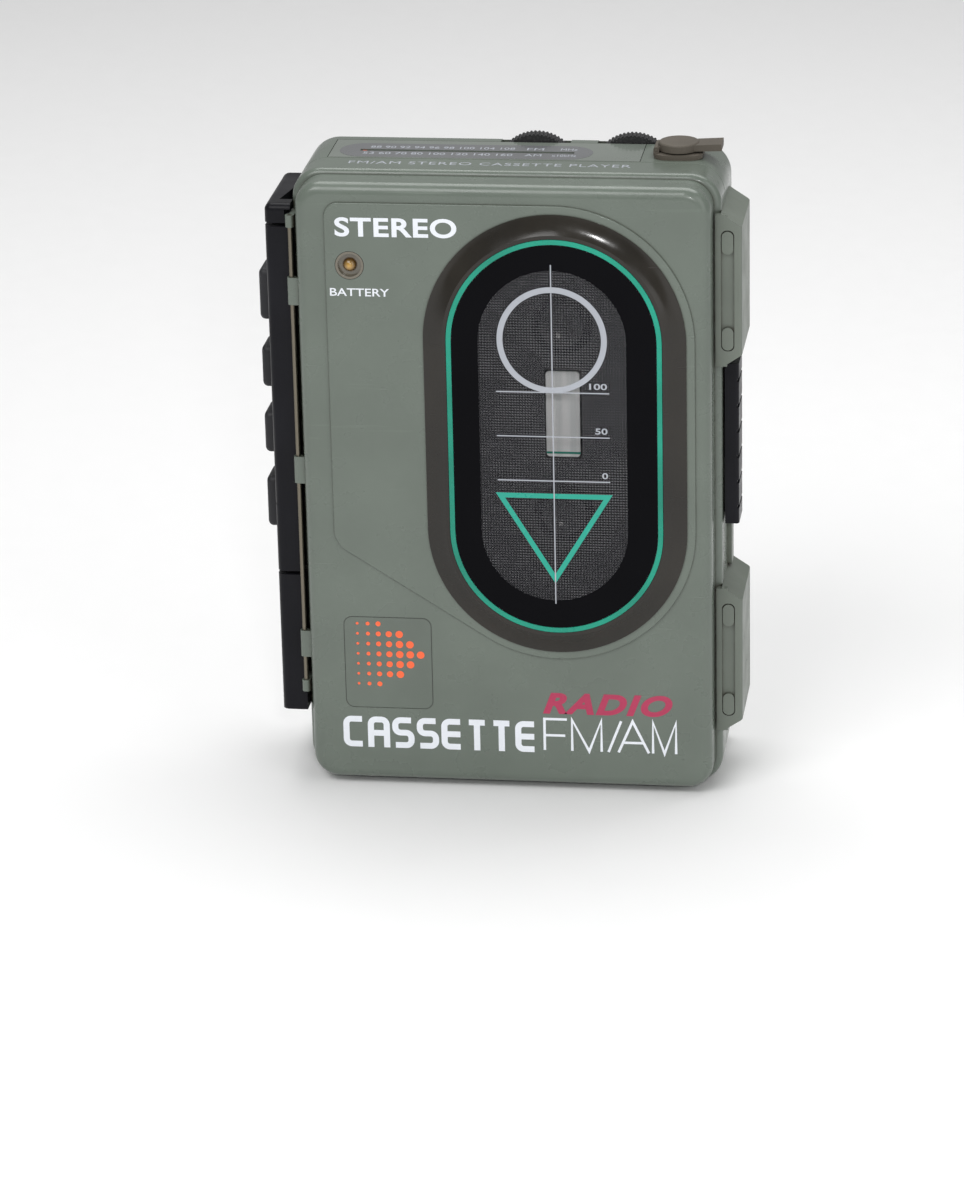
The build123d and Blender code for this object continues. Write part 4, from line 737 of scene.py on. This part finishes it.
def print_top(m, level):
    """Heading on the front edge of the top, and the dial's oval with its two scales."""
    heading = text_curve("FM/AM STEREO CASSETTE PLAYER", spacing=1.1)
    fit = (-33.9, 26.0, -9.9, -7.9)
    settle("print_heading", heading, "top", level["top"] + INK / 2, "case", m["ink_grey"],
           fit)
    slot_left, slot_right, slot_half = -33.0, 13.0, 0.65
    oval_x, oval_half_width, oval_half_height = -10.2, 27.1, 5.2
    figures_tall = 1.6
    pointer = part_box("dial_pointer")
    line = (pointer[0][1] + pointer[1][1]) / 2 / MM
    oval = flat_curve([
        stadium(oval_x, line, oval_half_width, oval_half_height),
        [(slot_left, line - slot_half), (slot_right, line - slot_half),
         (slot_right, line + slot_half), (slot_left, line + slot_half)],
    ], INK)
    face = level["dial"] + INK / 2
    settle("dial_oval", oval, "top", face, "case", m["oval"])
    rows = (
        ("fm", "88 90 92 94 96 98 100 104 108", line + 1.6, -31.0, 0.0),
        ("am", "53 60 70 80 100 120 140 160", line - 3.2, -32.0, 0.0),
        ("fm_name", "FM", line + 1.5, 2.6, 6.2),
        ("am_name", "AM", line - 3.2, 2.6, 6.2),
        ("fm_unit", "MHz", line + 1.6, 9.8, 13.4),
        ("am_unit", "x10kHz", line - 3.2, 8.4, 13.6),
    )
    for name, text, low, left, right in rows:
        fit = (left, right, low, low + figures_tall)
        settle(f"dial_{name}", text_curve(text), "top", face + INK, "case", m["ink_grey"], fit)


def symbol(kind, x, y, size):
    """Outlines of a transport symbol centred at x, y."""
    half = size / 2

    def arrow(cx, way):
        return [(cx - way * half / 2, y + half), (cx - way * half / 2, y - half), (cx + way * half / 2, y)]

    if kind == "play":
        return [[(x - half * 0.7, y + half), (x - half * 0.7, y - half), (x + half, y)]]
    if kind == "stop":
        return [[(x - half, y - half), (x + half, y - half), (x + half, y + half), (x - half, y + half)]]
    way = 1 if kind == "forward" else -1
    return [arrow(x - half / 2, way), arrow(x + half / 2, way)]


def print_sides(m, level):
    """Transport symbols on the buttons, and small labels by the slide switches."""
    symbol_y, symbol_size, label_tall = 6.0, 3.2, 1.7
    buttons = (("button_record", "stop"), ("button_rewind", "rewind"), ("button_forward", "forward"),
               ("button_play", "play"))
    for node, kind in buttons:
        low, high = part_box(node)
        middle = (low[2] + high[2]) / 2 / MM
        marks = flat_curve(symbol(kind, symbol_y, middle, symbol_size), INK)
        settle(f"{node}_symbol", marks, "left", level["button"] + INK / 2, node, m["ink_white"])
    words = (
        ("label_function", "TAPE  RADIO", -16.6, -3.4, 112.2),
        ("label_band", "AM  FM", -29.6, -22.4, 112.2),
    )
    for name, text, left, right, low in words:
        fit = (left, right, low, low + label_tall)
        settle(name, text_curve(text), "back", level["back"] + INK / 2, "case", m["ink_white"],
               fit)


def lathe(name, profile, place, body, material):
    """Turned piece about an axis along -Y at a place in millimetres; the profile is (radius, reach)."""
    steps = 28
    mesh = bpy.data.meshes.new(name)
    x, y, z = place
    points = []
    for radius, reach in profile:
        for i in range(steps):
            a = 2 * math.pi * i / steps
            points.append(Vector((x + radius * math.cos(a), y - reach, z + radius * math.sin(a))) * MM)
    faces = []
    for ring in range(len(profile) - 1):
        for i in range(steps):
            j = (i + 1) % steps
            faces.append((ring * steps + i, ring * steps + j, (ring + 1) * steps + j, (ring + 1) * steps + i))
    faces.append(tuple(range(steps)))
    faces.append(tuple((len(profile) - 1) * steps + i for i in range(steps)))
    mesh.from_pydata(points, [], faces)
    work = bmesh.new()
    work.from_mesh(mesh)
    bmesh.ops.recalc_face_normals(work, faces=work.faces)
    work.to_mesh(mesh)
    work.free()
    for polygon in mesh.polygons:
        polygon.use_smooth = len(polygon.vertices) == 4
    attach(name, mesh, material, body)


def make_spindle_details(m):
    """Bright pins on the spindles' tips, and thin black discs just behind the card round them: painted shade
    for the holes that they stand in.
    """
    pin = ((0.75, -0.6), (0.75, 0.25), (0.5, 0.5), (0.12, 0.55))
    painted_shade_radius, painted_shade_hole, painted_shade_thick, behind_card = 6.6, 1.7, 0.12, 0.4
    painted_shade_level = -(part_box("reflector")[0][1] / MM + behind_card) + painted_shade_thick / 2
    for node in ("supply_spindle", "takeup_spindle"):
        low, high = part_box(node)
        x, z = ((low[i] + high[i]) / 2 / MM for i in (0, 2))
        tip = low[1] / MM
        lathe(f"{node}_pin", pin, (x, tip, z), node, m["plated"])
        # Each black disc is painted shade: it stands for the dark inside of the hole round a spindle.
        painted_shade_disc = flat_curve([disc(x, z, painted_shade_radius, 48), disc(x, z, painted_shade_hole, 24)], painted_shade_thick)
        settle(f"{node}_well", painted_shade_disc, "front", painted_shade_level, "case", m["black_ink_and_painted_shade"])


def main():
    bpy.context.scene.view_settings.view_transform = "Standard"
    make_camera()
    make_stage()
    materials = make_materials()
    finish_nodes(materials)
    level = node_levels()
    print_door(materials, level)
    print_sticker(materials, level)
    print_window(materials, level)
    print_top(materials, level)
    print_sides(materials, level)
    make_spindle_details(materials)


main()
